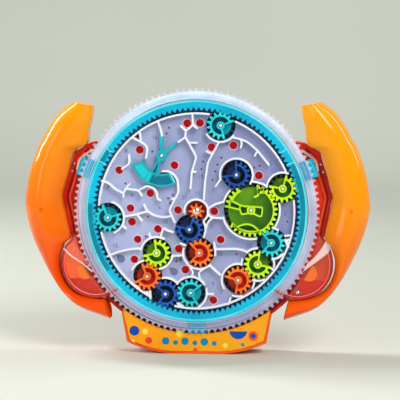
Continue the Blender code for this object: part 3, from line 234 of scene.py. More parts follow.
# Across the left handle: its outer edge, its ridge, its inner edge and its depth as a share of the most.
HANDLE_ROWS = [
    ((73.0, 102.0), (84.0, 103.4), (93.2, 105.8), 0.76),
    ((61.1, 110.7), (76.0, 114.6), (91.8, 117.4), 0.88),
    ((51.6, 122.2), (67.0, 126.5), (88.9, 128.9), 0.96),
    ((43.2, 137.0), (57.6, 142.0), (86.7, 144.0), 1.0),
    ((38.5, 145.6), (53.6, 151.0), (74.4, 151.7), 1.0),
    ((30.0, 169.5), (46.4, 173.0), (67.9, 173.6), 1.0),
    ((25.3, 197.0), (43.3, 199.0), (61.9, 195.8), 1.0),
    ((25.6, 214.0), (43.3, 214.0), (65.2, 214.5), 1.0),
    ((31.5, 236.5), (46.8, 234.6), (69.6, 237.0), 1.0),
    ((38.5, 252.5), (50.0, 248.5), (63.5, 245.3), 0.95),
    ((46.0, 268.0), (52.8, 264.0), (59.0, 260.6), 0.86),
    ((54.0, 282.0), (57.6, 279.2), (61.3, 276.4), 0.78),
    ((65.0, 296.5), (67.2, 293.2), (69.6, 289.7), 0.74),
    ((80.0, 308.8), (81.5, 303.0), (83.0, 297.0), 0.76),
    ((109.9, 319.7), (107.4, 310.6), (104.8, 300.2), 0.80),
]
HANDLE_SCREWS_PX = [(47.4, 174.0), (48.4, 231.0)]
HANDLE_DIMPLE_PX = (44.0, 208.7)
SHOULDER_PX = [(90.0, 142.6), (74.3, 151.9), (61.6, 196.0), (69.9, 238.2)]
SHOULDER_LINE_PX = [(84.0, 153.0), (77.4, 160.0), (75.8, 174.7), (68.6, 197.0), (73.0, 218.0),
                    (76.0, 233.0)]
SHOULDER_CHANNEL_PX = [(88.0, 149.0), (79.6, 156.5), (71.5, 178.0), (66.4, 196.6), (70.5, 218.0),
                       (73.4, 234.0)]
SHOULDER_GLEAM_PX = [(90.5, 151.0), (83.4, 156.0), (78.4, 161.4), (76.6, 169.5)]
SHOULDER_DOMES_PX = [(73.8, 163.6), (71.4, 171.2)]

# %% [markdown]
# ## Layers
# Depths are read from the front.  Every layer has its own name, so that two pieces never claim the same
# space by accident.

# %% Layers in metres
WINDOW_FRONT, WINDOW_BACK = -9.5 * MM, -7.9 * MM
WALL_TOP, FLOOR, WELL_FLOOR = -7.6 * MM, -3.3 * MM, -0.9 * MM
GEAR_FRONT, GEAR_STEP, GEAR_BACK = -7.3 * MM, -3.4 * MM, -1.4 * MM
RING_FRONT, RING_BACK = -7.5 * MM, 0.3 * MM
RING_OUTER, RING_TIP, RING_ROOT = 64.45 * MM, 58.45 * MM, 60.45 * MM
PLATE_RADIUS, LIP_RADIUS, LIP_BACK = 57.4 * MM, 61.0 * MM, 1.9 * MM
LUG_FRONT, LUG_BACK, LUG_REACH, LUG_HALF = -2.6 * MM, -0.4 * MM, 73.7 * MM, 5.5 * MM
LUG_ANGLES = (159.0, 20.5, -90.0)
RIM_FRONT, RIM_BACK = -7.3 * MM, -3.3 * MM
RIM_ROOT, RIM_TIP, RIM_INNER = 69.6 * MM, 71.3 * MM, 64.85 * MM
TRAY_FRONT, TRAY_FLOOR, TRAY_BACK = -0.1 * MM, 9.0 * MM, 11.0 * MM
TRAY_INNER, TRAY_TOP, TRAY_BOTTOM = 64.75 * MM, 65.9 * MM, 74.8 * MM
HOOD_FRONT, HOOD_BACK = -6.5 * MM, -0.4 * MM
POCKET_AT, POCKET_OUTER, POCKET_INNER = (58.9 * MM, -30.7 * MM), 20.5 * MM, 19.2 * MM
POST_AT, POST_RADIUS = (65.4 * MM, -35.8 * MM), 4.8 * MM
BALL_RADIUS = 2.0 * MM
BOX_FRONT, BOX_BACK, BOX_TOP = -5.5 * MM, 13.0 * MM, 74.3 * MM
WALL_WIDTH = 1.1 * MM
HOLE_RADIUS = 2.35 * MM
BORE_RADIUS, TOOTH_DEPTH = 1.3 * MM, 2.0 * MM
WINDOW_RADIUS = 66.1 * MM
SLIP_INNER, SLIP_OUTER = 64.9 * MM, 69.5 * MM
BOSS_BORE, BOSS_RADIUS = 1.5 * MM, 5.4 * MM
BOX_WALL, BOX_WINDOW_TOP = 2.0 * MM, 76.8 * MM
HANDLE_RIM, HANDLE_DEPTH, HANDLE_LIP, HANDLE_SEAM = 4.2 * MM, 15.0 * MM, 5.2 * MM, 0.15 * MM
HANDLE_SMOOTH = 38.0

# %% [markdown]
# ## Small tools for shapes
# Angles are in degrees, counter-clockwise as seen from the front.

# %% Flat drawing


def polar(radius, angle, centre=(0.0, 0.0)):
    """The point at centre + radius (cos angle, sin angle)."""
    turn = math.radians(angle)
    return (centre[0] + radius * math.cos(turn), centre[1] + radius * math.sin(turn))


def arc(radius, start, end, step=3.0, centre=(0.0, 0.0)):
    """Points along an arc, both ends included."""
    count = max(1, math.ceil(abs(end - start) / step - 1e-6))
    return [polar(radius, start + (end - start) * i / count, centre) for i in range(count + 1)]


def circle(radius, steps, centre=(0.0, 0.0)):
    """Points at equal steps of 360 / steps degrees round a circle."""
    return [polar(radius, 360 * i / steps, centre) for i in range(steps)]


def beside(radius, angle, offset, centre=(0.0, 0.0)):
    """A point at radius, offset from the radial line at angle to its counter-clockwise side.

    It stands at angle + atan(offset / along), where along is the root of radius^2 - offset^2.
    """
    along = math.sqrt(radius * radius - offset * offset)
    return polar(radius, angle + math.degrees(math.atan2(offset, along)), centre)


def from_photo(point, scale=MAZE_SCALE):
    """A picture point as (x, z) from the axle: the distance from the axle's point times the scale."""
    return ((point[0] - AXLE_PX[0]) * scale, (AXLE_PX[1] - point[1]) * scale)


def on_board(points):
    """The board's picture points as a path of (x, z) from the axle."""
    return [from_photo(point, BOARD_SCALE) for point in points]


def mirrored(points):
    """The same path on the other side of the axle, turned round so that it still runs the same way."""
    return [(-x, z) for x, z in reversed(points)]


def moved(points, by):
    """The same path, shifted."""
    return [(x + by[0], z + by[1]) for x, z in points]


def rounded(points, radius, closed=False, steps=4):
    """The same path with each corner replaced by a short curve that starts radius before it.

    The curve is (1 - t)^2 start + 2 t (1 - t) corner + t^2 end, for t from 0 to 1.
    """
    made = []
    count = len(points)
    for i, here in enumerate(points):
        if not closed and i in (0, count - 1):
            made.append(tuple(here))
            continue
        before, after = points[i - 1], points[(i + 1) % count]
        here, before, after = np.array(here), np.array(before), np.array(after)
        into, out = before - here, after - here
        length_in, length_out = max(np.linalg.norm(into), TINY), max(np.linalg.norm(out), TINY)
        start = here + into * min(radius / length_in, 0.45)
        end = here + out * min(radius / length_out, 0.45)
        for k in range(steps + 1):
            t = k / steps
            made.append(tuple((1 - t) ** 2 * start + 2 * t * (1 - t) * here + t * t * end))
    return made


# %% [markdown]
# ## Small tools for solids
# A shape is an array of points (x, y, z) from the axle and a list of faces.  Four tools make all shapes: a
# filled outline with depth, a turned profile, a grid of rows, and a wall that follows a path.  Several
# shapes with their own materials are joined to one piece, as one moulding holds walls, ribs and prints.

# %% Curves and text as meshes


def mesh_of(curve):
    """A curve or a text as a mesh.  The curve itself is taken away again."""
    guide = bpy.data.objects.new(curve.name, curve)
    bpy.context.scene.collection.objects.link(guide)
    graph = bpy.context.evaluated_depsgraph_get()
    mesh = bpy.data.meshes.new_from_object(guide.evaluated_get(graph))
    bpy.data.objects.remove(guide)
    bpy.data.curves.remove(curve)
    return mesh


def from_mesh(mesh):
    """A mesh's points as rows of (x, y, z), and its faces as tuples of corner numbers."""
    points = np.empty(len(mesh.vertices) * 3)
    mesh.vertices.foreach_get("co", points)
    faces = [tuple(face.vertices) for face in mesh.polygons]
    return points.reshape(-1, 3), faces


# %% Filled outlines, turned profiles and grids


def slab(loops, front, back, edge=0.0, steps=2):
    """Flat outlines filled and given a depth from front to back, with rounded edges.

    An outline inside another one is a hole.  The outline is drawn in by edge, because the bevel adds it
    again, and the sheet's own z becomes depth: y = (front + back) / 2 - z.
    """
    curve = bpy.data.curves.new("slab", "CURVE")
    curve.dimensions = "2D"
    curve.fill_mode = "BOTH"
    curve.extrude = (back - front) / 2 - edge
    curve.bevel_depth = edge
    curve.bevel_resolution = steps
    curve.offset = -edge
    for loop in loops:
        spline = curve.splines.new("POLY")
        spline.points.add(len(loop) - 1)
        flat = np.array([(x, z, 0.0, 1.0) for x, z in loop])
        spline.points.foreach_set("co", flat.ravel())
        spline.use_cyclic_u = True
    mesh = mesh_of(curve)
    shape = bmesh.new()
    shape.from_mesh(mesh)
    bmesh.ops.remove_doubles(shape, verts=shape.verts, dist=1e-6)
    bmesh.ops.recalc_face_normals(shape, faces=shape.faces)
    shape.to_mesh(mesh)
    shape.free()
    points, faces = from_mesh(mesh)
    bpy.data.meshes.remove(mesh)
    middle = (front + back) / 2
    placed = np.column_stack([points[:, 0], middle - points[:, 2], points[:, 1]])
    return placed, faces


def turned(profile, steps=96, centre=(0.0, 0.0), closed=True):
    """A (radius, y) profile turned about an axis through centre that runs front to back.

    Point k of the profile at turn t is (centre x + radius cos t, y, centre z + radius sin t).
    """
    rows = len(profile)
    turn = np.linspace(0, 2 * math.pi, steps, endpoint=False)
    radius, depth = np.array(profile).T
    x = centre[0] + np.outer(np.cos(turn), radius)
    z = centre[1] + np.outer(np.sin(turn), radius)
    points = np.stack([x, np.tile(depth, (steps, 1)), z], axis=2).reshape(-1, 3)
    faces = []
    last = rows if closed else rows - 1
    for i in range(steps):
        j = (i + 1) % steps
        for k in range(last):
            m = (k + 1) % rows
            faces.append((i * rows + k, j * rows + k, j * rows + m, i * rows + m))
    return points, faces


def sheet_of(rows, closed_across=False):
    """A grid of points as a surface: rows of equal length, joined to their neighbours."""
    rows = np.array(rows)
    count, width = rows.shape[:2]
    faces = []
    for i in range(count - 1):
        for j in range(width if closed_across else width - 1):
            k = (j + 1) % width
            faces.append((i * width + j, i * width + k, (i + 1) * width + k, (i + 1) * width + j))
    return rows.reshape(-1, 3), faces


# %% Walls that follow a path


def wall(path, bottom, top, width=WALL_WIDTH, round_off=0.3 * MM):
    """A wall along a path, with round ends and a rounded top.

    Each layer is the path moved to both sides by half the width less an inset.  Over the top the inset is
    r (1 - cos t) and the depth top + r (1 - sin t), a quarter circle of radius r = round_off.
    """
    path = np.array(path)
    steps = np.diff(path, axis=0)
    steps /= np.linalg.norm(steps, axis=1)[:, None]
    tangent = np.vstack([steps[:1], steps[:-1] + steps[1:], steps[-1:]])
    tangent /= np.linalg.norm(tangent, axis=1)[:, None]
    normal = np.column_stack([-tangent[:, 1], tangent[:, 0]])
    half = width / 2
    layers = [(0.0, bottom), (0.0, top + round_off)]
    for t in (0.4, 0.75, 1.0):
        inset = round_off * (1 - math.cos(t * math.pi / 2))
        layers.append((inset, top + round_off * (1 - math.sin(t * math.pi / 2))))
    rows = []
    for inset, depth in layers:
        reach = half - inset
        left, right = path + normal * reach, path - normal * reach
        cap = [math.radians(a) for a in (-60, -30, 0, 30, 60)]
        end = [path[-1] + reach * (tangent[-1] * math.cos(a) - normal[-1] * math.sin(a)) for a in cap]
        start = [path[0] - reach * (tangent[0] * math.cos(a) - normal[0] * math.sin(a)) for a in cap]
        ring = np.vstack([left, end, right[::-1], start])
        rows.append(np.column_stack([ring[:, 0], np.full(len(ring), depth), ring[:, 1]]))
    points, faces = sheet_of(rows, closed_across=True)
    width_count = len(rows[0])
    top_row = (len(rows) - 1) * width_count
    faces.append(tuple(top_row + i for i in range(width_count)))
    return points, faces


# %% Pieces


def piece(name, shapes, materials, smooth=32.0, lift=True):
    """One object at the origin from (shape, material number) pairs, with its place in its mesh."""
    points, faces, slots = [], [], []
    start = 0
    for (shape_points, shape_faces), slot in shapes:
        points.append(np.asarray(shape_points, dtype=float))
        faces += [tuple(corner + start for corner in face) for face in shape_faces]
        slots += [slot] * len(shape_faces)
        start += len(shape_points)
    points = np.vstack(points)
    if lift:
        points = points + (0.0, 0.0, AXLE_Z)
    mesh = bpy.data.meshes.new(name)
    mesh.from_pydata(points.tolist(), [], faces)
    for item in materials:
        mesh.materials.append(item)
    mesh.polygons.foreach_set("material_index", slots)
    shape = bmesh.new()
    shape.from_mesh(mesh)
    bmesh.ops.recalc_face_normals(shape, faces=shape.faces)
    shape.to_mesh(mesh)
    shape.free()
    made = bpy.data.objects.new(name, mesh)
    bpy.context.scene.collection.objects.link(made)
    shade(made, smooth)
    print(f"{name}: {len(shapes)} shapes, {len(faces)} faces")
    return made


def shade(made, smooth):
    """Smooth faces with hard edges where the surface turns by more than this angle.

    A face stays flat where its normal's front part is 0.995 or more, so that flat fronts show no shading.
    """
    made.data.shade_smooth()
    made.data.set_sharp_from_angle(angle=math.radians(smooth))
    faces = made.data.polygons
    normals = np.empty(len(faces) * 3)
    faces.foreach_get("normal", normals)
    faces.foreach_set("use_smooth", np.abs(normals[1::3]) < 0.995)


def cut(made, shapes, smooth=32.0):
    """Takes shapes away from a piece and keeps the result as its own mesh."""
    tool = piece(made.name + "_cutter", [(shape, 0) for shape in shapes], [])
    boolean = made.modifiers.new("cut", "BOOLEAN")
    boolean.operation = "DIFFERENCE"
    boolean.object = tool
    boolean.solver = "EXACT"
    boolean.use_self = True
    graph = bpy.context.evaluated_depsgraph_get()
    result = bpy.data.meshes.new_from_object(made.evaluated_get(graph))
    made.modifiers.remove(boolean)
    old = made.data
    made.data = result
    result.name = made.name
    bpy.data.meshes.remove(old)
    bpy.data.objects.remove(tool)
    shade(made, smooth)


# %% [markdown]
# ## Materials
# The toy is moulded from a few plastics: ABS for all that has a colour, clear polystyrene for the wheel's
# window, its rim and the hoods, and steel for the ball, the screws and the centre pin.  Moulded ABS shows
# an even colour with slow changes where the wall thickness changes, a fine grain from the mould, and small
# sharp highlights.  So one function makes every plastic: two close colours in soft patches, fine grain as
# bump, and gloss that varies with the grain.  Colours are written as they look on a screen.

# %% Material tools
RAMP_DARK, RAMP_LIGHT = 0.36, 0.64


def screen_colour(code):
    """A colour code as linear red, green, blue and opacity."""
    values = [int(code[i:i + 2], 16) / 255 for i in (1, 3, 5)]
    linear = [v / 12.92 if v <= 0.04045 else ((v + 0.055) / 1.055) ** 2.4 for v in values]
    return (*linear, 1.0)


def add(tree, kind, inputs, **settings):
    """Adds a shader node: settings are its own values, inputs are numbers or links from other nodes."""
    made = tree.nodes.new(kind)
    for key, value in settings.items():
        setattr(made, key, value)
    for key, value in inputs.items():
        if isinstance(value, bpy.types.NodeSocket):
            tree.links.new(value, made.inputs[key])
        else:
            made.inputs[key].default_value = value
    return made


def plastic(name, light, dark, gloss=0.3, patch=45.0, grain=0.08, slope=None, **shader):
    """Moulded plastic: two close colours in soft patches, fine grain and uneven gloss.

    Patch is how many patches fit in a metre, so 45 makes them 22 mm wide.  The real grain is finer than a
    render can show, so it is drawn at 900 to the metre, 1.1 mm wide.  With a slope (direction, low,
    high), the colour also runs from dark at low to light at high, measured along the direction: a painted
    change of light across the piece.
    """
    made = bpy.data.materials.new(name)
    made.use_nodes = True
    tree = made.node_tree
    tree.nodes.clear()
    place = add(tree, "ShaderNodeTexCoord", {}).outputs["Object"]
    patches = add(tree, "ShaderNodeTexNoise", {"Vector": place, "Scale": patch, "Detail": 2.0})
    level = patches.outputs["Fac"]
    if slope:
        direction, low, high = slope
        along = add(tree, "ShaderNodeVectorMath", {0: place, 1: direction}, operation="DOT_PRODUCT")
        run = add(tree, "ShaderNodeMapRange", {
            "Value": along.outputs["Value"], "From Min": low, "From Max": high,
            "To Min": -0.14, "To Max": 0.14})
        sway = add(tree, "ShaderNodeMapRange", {"Value": level, "To Min": RAMP_DARK, "To Max": RAMP_LIGHT})
        total = add(tree, "ShaderNodeMath", {0: run.outputs["Result"], 1: sway.outputs["Result"]})
        level = total.outputs["Value"]
    mix = add(tree, "ShaderNodeValToRGB", {"Fac": level})
    first, second = mix.color_ramp.elements
    first.position, first.color = RAMP_DARK, screen_colour(dark)
    second.position, second.color = RAMP_LIGHT, screen_colour(light)
    fine = add(tree, "ShaderNodeTexNoise", {"Vector": place, "Scale": 900.0, "Detail": 3.0})
    grain_height = fine.outputs["Fac"]
    bump = add(tree, "ShaderNodeBump", {"Height": grain_height, "Strength": grain, "Distance": 0.1 * MM})
    worn = add(tree, "ShaderNodeMapRange", {
        "Value": grain_height, "To Min": gloss * 0.8, "To Max": gloss * 1.3})
    body = add(tree, "ShaderNodeBsdfPrincipled", {
        "Base Color": mix.outputs["Color"], "Roughness": worn.outputs["Result"],
        "Normal": bump.outputs["Normal"], "Specular IOR Level": 0.22})
    for key, value in shader.items():
        body.inputs[key.replace("_", " ")].default_value = value
    add(tree, "ShaderNodeOutputMaterial", {"Surface": body.outputs["BSDF"]})
    return made


# %% [markdown]
# ### The finishes
# Opaque pieces are ABS: a little soft in its gloss on the maze plate, where the mould was blasted, and
# polished on the handles, where long white highlights run.  A piece in the shade of another one, such as
# the tray's floor or a pocket's shelf, gets a painted glow of its own, for the light that comes through
# the clear plastics; the cyan lugs and the slip band get one too.  The clear plastics are nearly all
# opening: their alpha says how much of them the eye meets.

# %% Finishes of the maze plate and the ring
# The maze floor's colour runs lighter towards the left and the bottom: painted light on one lavender
# plastic.
LAVENDER = plastic("lavender moulded ABS", "#B4BCE0", "#868CB8", 0.3, 50.0, 0.15,
                   ((-0.8, 0.0, -0.2), -0.06, 0.03))
WALL_WHITE = plastic("pale lavender ABS, polished wall tops", "#FCFCFF", "#EEF2FF", 0.3, 60.0)
HOLE_RIM = plastic("pale pink ABS, rounded hole rims", "#FAD8E0", "#EEBCCC", 0.35)
DOT_INK = plastic("magenta printing ink, dots", "#960A5A", "#700046", 0.45)
NUMBER_GREY = plastic("lavender ABS, raised numbers", "#70749E", "#60648E", 0.35)
SHADE_DARK = plastic("black printing ink, number", "#100C18", "#08060E", 0.5, Specular_IOR_Level=0.1)
CYAN = plastic("cyan moulded ABS, ring", "#00C4EA", "#00A8D0", 0.25, 30.0)
CYAN_SHADE = plastic("cyan moulded ABS, facets in shade", "#0092AC", "#007E98", 0.3)
# The lugs have a painted glow.
CYAN_LUG_GLOW = plastic("cyan moulded ABS, lugs with a painted glow", "#00BCE8", "#00A4D4", 0.3, 30.0,
                   Emission_Color=screen_colour("#00A0D0"), Emission_Strength=0.2)
# A lighter cyan drawn on edges, steps and ridges as a painted highlight.
CYAN_HIGHLIGHT = plastic("cyan moulded ABS, painted highlight on edges", "#78F0FA", "#50E0F0", 0.2)
# Painted shade: a dark sheet laid in the gaps beside the wells.
GAP_SHADE = plastic("painted shade in the gaps between the walls", "#3A4460", "#262E48", 0.5)

# %% Finishes of the tray, hoods, handles and label
RED = plastic("red moulded ABS, tray", "#EC3418", "#C81408", 0.2, 60.0, 0.05)
RED_DARK = plastic("red moulded ABS, channels in shade", "#A00A0A", "#780404", 0.3, 60.0, 0.05)
# The tray floor has a painted glow, for the light that comes through the clear plastics.
RED_FLOOR_GLOW = plastic("red moulded ABS, tray floor with a painted glow", "#D00C08", "#B40404", 0.3, 30.0,
                   Emission_Color=screen_colour("#CC0804"), Emission_Strength=0.55)
HOOD_RED = plastic("clear red polystyrene, hoods", "#FF9482", "#F47C6C", 0.08, 30.0, 0.03, Alpha=0.1)
HOOD_RIM = plastic("clear red polystyrene, thick edge", "#D01420", "#B40A18", 0.12, 30.0, 0.03)
HOOD_LINE = plastic("clear red polystyrene, lit step", "#FF8A78", "#FF6A58", 0.12, 30.0, 0.03)
HOOD_PINK = plastic("clear red polystyrene, lit flank", "#FF8C78", "#FF6E5A", 0.12, 30.0, 0.03,
                    Alpha=0.4)
HOOD_GLEAM = plastic("clear polystyrene, lit bevel", "#FFF4F2", "#FFDCD8", 0.08, 40.0, 0.03,
                     Alpha=0.75)
# The handles' orange is painted lighter towards the top, and a little towards the right: painted light on
# one plastic.
HANDLE = plastic("orange polished ABS, handles", "#FFA400", "#FC5200", 0.13, 16.0, 0.02,
                 ((0.25, 0.0, 1.0), 0.04, 0.12), Specular_IOR_Level=0.3)
HANDLE_END = plastic("orange moulded ABS, cut ends", "#FF6E00", "#F05A00", 0.6, 16.0, 0.02,
                     Specular_IOR_Level=0.0)
# The shelves are one orange plastic: the left one is painted lit and the right one painted in shade, and
# both have a painted glow.
SHELF_LIT = plastic("orange moulded ABS, shelf", "#FF7A28", "#FF6A1C", 0.3,
                    Emission_Color=screen_colour("#FF6A20"), Emission_Strength=0.35)
SHELF_SHADE = plastic("orange moulded ABS, shelf in shade", "#DC5228", "#CC4620", 0.3,
                      Emission_Color=screen_colour("#D85030"), Emission_Strength=0.2)
POST = plastic("orange moulded ABS, posts", "#FF8C1E", "#FF780A", 0.3)
LABEL = plastic("orange printed card under gloss", "#FFB01E", "#FFA20A", 0.35, 30.0)
LABEL_RIM = plastic("red orange moulded ABS, label border", "#FF6428", "#F04A14", 0.2)
LABEL_BLUE = plastic("blue printing ink", "#1450B4", "#0C44A0", 0.4)
LABEL_TEAL = plastic("teal printing ink", "#0096B4", "#0082A0", 0.4)
LABEL_RED = plastic("red printing ink", "#FF5032", "#F03C28", 0.4)
LABEL_YELLOW = plastic("yellow printing ink", "#FFE65A", "#FFDC3C", 0.4)

# %% Finishes of the clear wheel and the steel
WINDOW = plastic("clear polystyrene, window", "#8C96B0", "#7880A0", 0.05, 20.0, 0.02, Alpha=0.01,
                 Specular_IOR_Level=0.08)
# The slip band is painted lighter towards the top and has a painted glow.
SLIP = plastic("white moulded ABS, slip band", "#F4FAFF", "#A8A0D4", 0.25, 90.0, 0.08,
               ((0.0, 0.0, 1.0), 0.02, 0.16),
               Emission_Color=screen_colour("#C8D0F8"), Emission_Strength=0.25)
RIM_CLEAR = plastic("clear polystyrene, grained rim", "#F4F4FF", "#D4D2F4", 0.12, 90.0, 0.15, Alpha=0.06)
# White ridges on the rim are a painted highlight.
RIM_HIGHLIGHT = plastic("clear polystyrene, lit ridges", "#FFFFFF", "#F0ECFC", 0.1, 60.0, 0.08, Alpha=0.75)
RIM_TOOTH = plastic("clear polystyrene, thumb teeth", "#F6F2FF", "#DAD4EC", 0.1, 90.0, 0.08, Alpha=0.4)
STEEL = plastic("polished steel", "#E6E6EA", "#C8C8CE", 0.16, 60.0, 0.02, Metallic=1.0)
PIN_WHITE = plastic("white moulded ABS, pins", "#FFFFFF", "#F0ECFA", 0.12)


# %% [markdown]
# ### The gears' finishes
# A gear is one moulding in one colour, but its front is pale where the light meets its polished teeth,
# and dark in its recess, where the well's wall shades it.  So each colour has five painted tones, from
# painted light on the raised front to painted shade in the well behind the gear.  The tones in shade have
# next to no highlight of their own.

# %% Gear finishes


def gear_tones(word, raised, recess, open_side, back, well):
    """The five painted tones, lit to shaded, of one colour of gears: each is a light and a dark colour of
    the same plastic.
    """
    dull = {"Specular_IOR_Level": 0.1}
    return {
        "raised": plastic(f"{word} ABS, gear front painted lit", *raised, 0.25),
        "recess": plastic(f"{word} ABS, gear recess painted in shade", *recess, 0.3, **dull),
        "open": plastic(f"{word} ABS, gear open side", *open_side, 0.2, 160.0, **dull),
        "deep": plastic(f"{word} ABS, gear back teeth painted in shade", *back, 0.35, **dull),
        "well": plastic(f"{word} shade in a gear well", *well, 0.5, **dull),
    }


TEAL_SET = gear_tones("teal", ("#2CE0E8", "#14CCD8"), ("#006478", "#005468"), ("#00AEC0", "#007C90"),
                      ("#004656", "#003040"), ("#0A2834", "#06161E"))
BLUE_SET = gear_tones("blue", ("#185CBC", "#104AA4"), ("#020814", "#01040A"), ("#28345A", "#0C1C40"),
                      ("#0A1E46", "#04102A"), ("#080E1E", "#040812"))
LIME_SET = gear_tones("lime", ("#D4FA22", "#C0F000"), ("#2C7000", "#205C00"), ("#5A8C10", "#3C5E0C"),
                      ("#3C5A0A", "#243A04"), ("#101806", "#080C02"))
ORANGE_SET = gear_tones("orange", ("#FF8420", "#FF7010"), ("#D41800", "#B80E00"), ("#B43210", "#8A1A04"),
                        ("#641004", "#420802"), ("#320808", "#1E0404"))
GEAR_SETS = {"teal": TEAL_SET, "blue": BLUE_SET, "lime": LIME_SET, "orange": ORANGE_SET}
print(len(bpy.data.materials), "materials so far")

# %% [markdown]
# ## The maze plate
# The floor is one turned disc.  The gears' wells and the ball holes are cut from it, and the walls stand
# on it as separate rounded ribs, each a hair lower than the last, so that no two tops share one plane.

# %% Maze floor
plate_profile = rounded([
    (5.7 * MM, FLOOR),
    (PLATE_RADIUS, FLOOR),
    (PLATE_RADIUS, 0.7 * MM),
    (LIP_RADIUS, 0.7 * MM),
    (LIP_RADIUS, LIP_BACK),
    (7.4 * MM, LIP_BACK),
    (7.4 * MM, 8.6 * MM),
    (5.7 * MM, 8.6 * MM),
], 0.25 * MM, closed=True, steps=3)
plate = piece("maze_floor", [(turned(plate_profile, 240), 0)], [LAVENDER])
wells = []
for number, name in enumerate(GEAR_NAMES):
    centre, reach = facts[name][:2]
    depth = WELL_FLOOR + number * 0.002 * MM
    wells.append(slab([circle(reach + 0.4 * MM, 84, centre)], WINDOW_FRONT, depth))
wells.append(slab([circle(6.1 * MM, 60)], WINDOW_FRONT, WELL_FLOOR + 0.05 * MM))
cut(plate, wells)
holes = [slab([circle(HOLE_RADIUS, 32, from_photo(at))], WINDOW_FRONT, 6.0 * MM) for at in BALL_HOLES]
cut(plate, holes)

# %% [markdown]
# ### Walls and hole rims
# On the toy the walls are ribs with rounded tops that catch the light as white lines, and each ball hole
# has a small rounded rim.  A wall follows its picture points with its corners eased.  The walls about the
# wells are arcs about the gears' own centres, so they stay even all round.

# %% Walls, hole rims and printed dots
wall_shapes = []
paths = [rounded([from_photo(point) for point in path], 1.6 * MM) for path in WALLS]
for name, radius, start, end in WELL_WALLS:
    paths.append(arc(radius * MAZE_SCALE, start, end, 4.0, centre_of(name)))
for start, end in OUTER_WALL_ARCS:
    paths.append(arc(56.75 * MM, start, end, 2.0))
for number, path in enumerate(paths):
    wall_shapes.append((wall(path, FLOOR + 0.2 * MM, WALL_TOP + number * 0.003 * MM), 0))
for at in BALL_HOLES:
    ring = rounded([
        (HOLE_RADIUS - 0.02 * MM, FLOOR + 0.3 * MM),
        (HOLE_RADIUS - 0.02 * MM, FLOOR - 0.25 * MM),
        (HOLE_RADIUS + 0.42 * MM, FLOOR - 0.05 * MM),
        (HOLE_RADIUS + 0.42 * MM, FLOOR + 0.3 * MM),
    ], 0.12 * MM, closed=True, steps=2)
    wall_shapes.append((turned(ring, 36, from_photo(at)), 1))
for at in DOTS:
    dot = circle(0.62 * MM, 14, from_photo(at))
    wall_shapes.append((slab([dot], FLOOR - 0.05 * MM, FLOOR + 0.1 * MM), 2))
plate_walls = piece("maze_walls", wall_shapes, [WALL_WHITE, HOLE_RIM, DOT_INK])

# %% [markdown]
# ### Numbers, gaps and dents
# Small raised numbers stand on the maze floor.  A text curve gives them in plain figures, and it is made a
# mesh before its place is added.  Some gaps beside the wells are dark with painted shade, some white, and
# two drop-shaped dents and a dark dot are kept.

# %% Marks on the floor


def number_at(text, at, size=3.4 * MM, lift=0.12 * MM):
    """A plain number that stands on the maze floor, its middle at this place."""
    curve = bpy.data.curves.new("number", "FONT")
    curve.body = text
    curve.size = size
    curve.align_x, curve.align_y = "CENTER", "CENTER"
    curve.extrude = lift
    curve.resolution_u = 3
    mesh = mesh_of(curve)
    points, faces = from_mesh(mesh)
    bpy.data.meshes.remove(mesh)
    return np.column_stack([at[0] + points[:, 0], FLOOR - points[:, 2], at[1] + points[:, 1]]), faces


floor_marks = [(number_at(text, from_photo((x, y))), 0) for x, y, text in NUMBERS]
floor_marks.append((number_at(DARK_NUMBER[2], from_photo(DARK_NUMBER[:2]), 4.4 * MM), 1))
for points in SHADED_GAPS:
    gap = rounded([from_photo(point) for point in points], 0.4 * MM, closed=True, steps=2)
    floor_marks.append((slab([gap], FLOOR - 0.06 * MM, FLOOR + 0.2 * MM), 2))
for points in WHITE_GAPS:
    gap = rounded([from_photo(point) for point in points], 0.4 * MM, closed=True, steps=2)
    floor_marks.append((slab([gap], FLOOR - 2.8 * MM, FLOOR + 0.2 * MM, 0.2 * MM), 3))
for at in TEARDROPS_PX:
    spot = from_photo(at)
    drop = [polar(2.2 * MM, angle, spot) for angle in range(-150, 91, 20)] + [polar(3.7 * MM, 138, spot)]
    drop = rounded(drop, 0.4 * MM, closed=True, steps=2)
    floor_marks.append((slab([drop], FLOOR - 0.35 * MM, FLOOR + 0.2 * MM, 0.15 * MM), 0))
deep_dot = circle(0.8 * MM, 20, from_photo(DEEP_DOT_PX))
floor_marks.append((slab([deep_dot], FLOOR - 0.05 * MM, FLOOR + 0.1 * MM), 1))
marks = piece("maze_marks", floor_marks, [NUMBER_GREY, SHADE_DARK, GAP_SHADE, WALL_WHITE])

# %% [markdown]
# ### Pins and well floors
# Every gear turns on a pin with a domed head that shines as a white dot.  The floor of a well is in deep
# shade and takes the colour of its gear, so a thin disc of that tone lies on it.

# %% Pins and well floors
pin_profile = [(0.0, WALL_TOP), (0.45 * MM, WALL_TOP + 0.04 * MM), (0.75 * MM, WALL_TOP + 0.2 * MM),
               (0.92 * MM, WALL_TOP + 0.5 * MM), (0.95 * MM, WALL_TOP + 0.9 * MM),
               (0.95 * MM, WELL_FLOOR + 0.2 * MM)]
pin_centres = [facts[name][0] for name in GEAR_NAMES] + [from_photo(LEVER_PIVOT_PX)]
pin_shapes = [(turned(pin_profile, 24, at, closed=False), 0) for at in pin_centres]
pins = piece("gear_pins", pin_shapes, [PIN_WHITE])

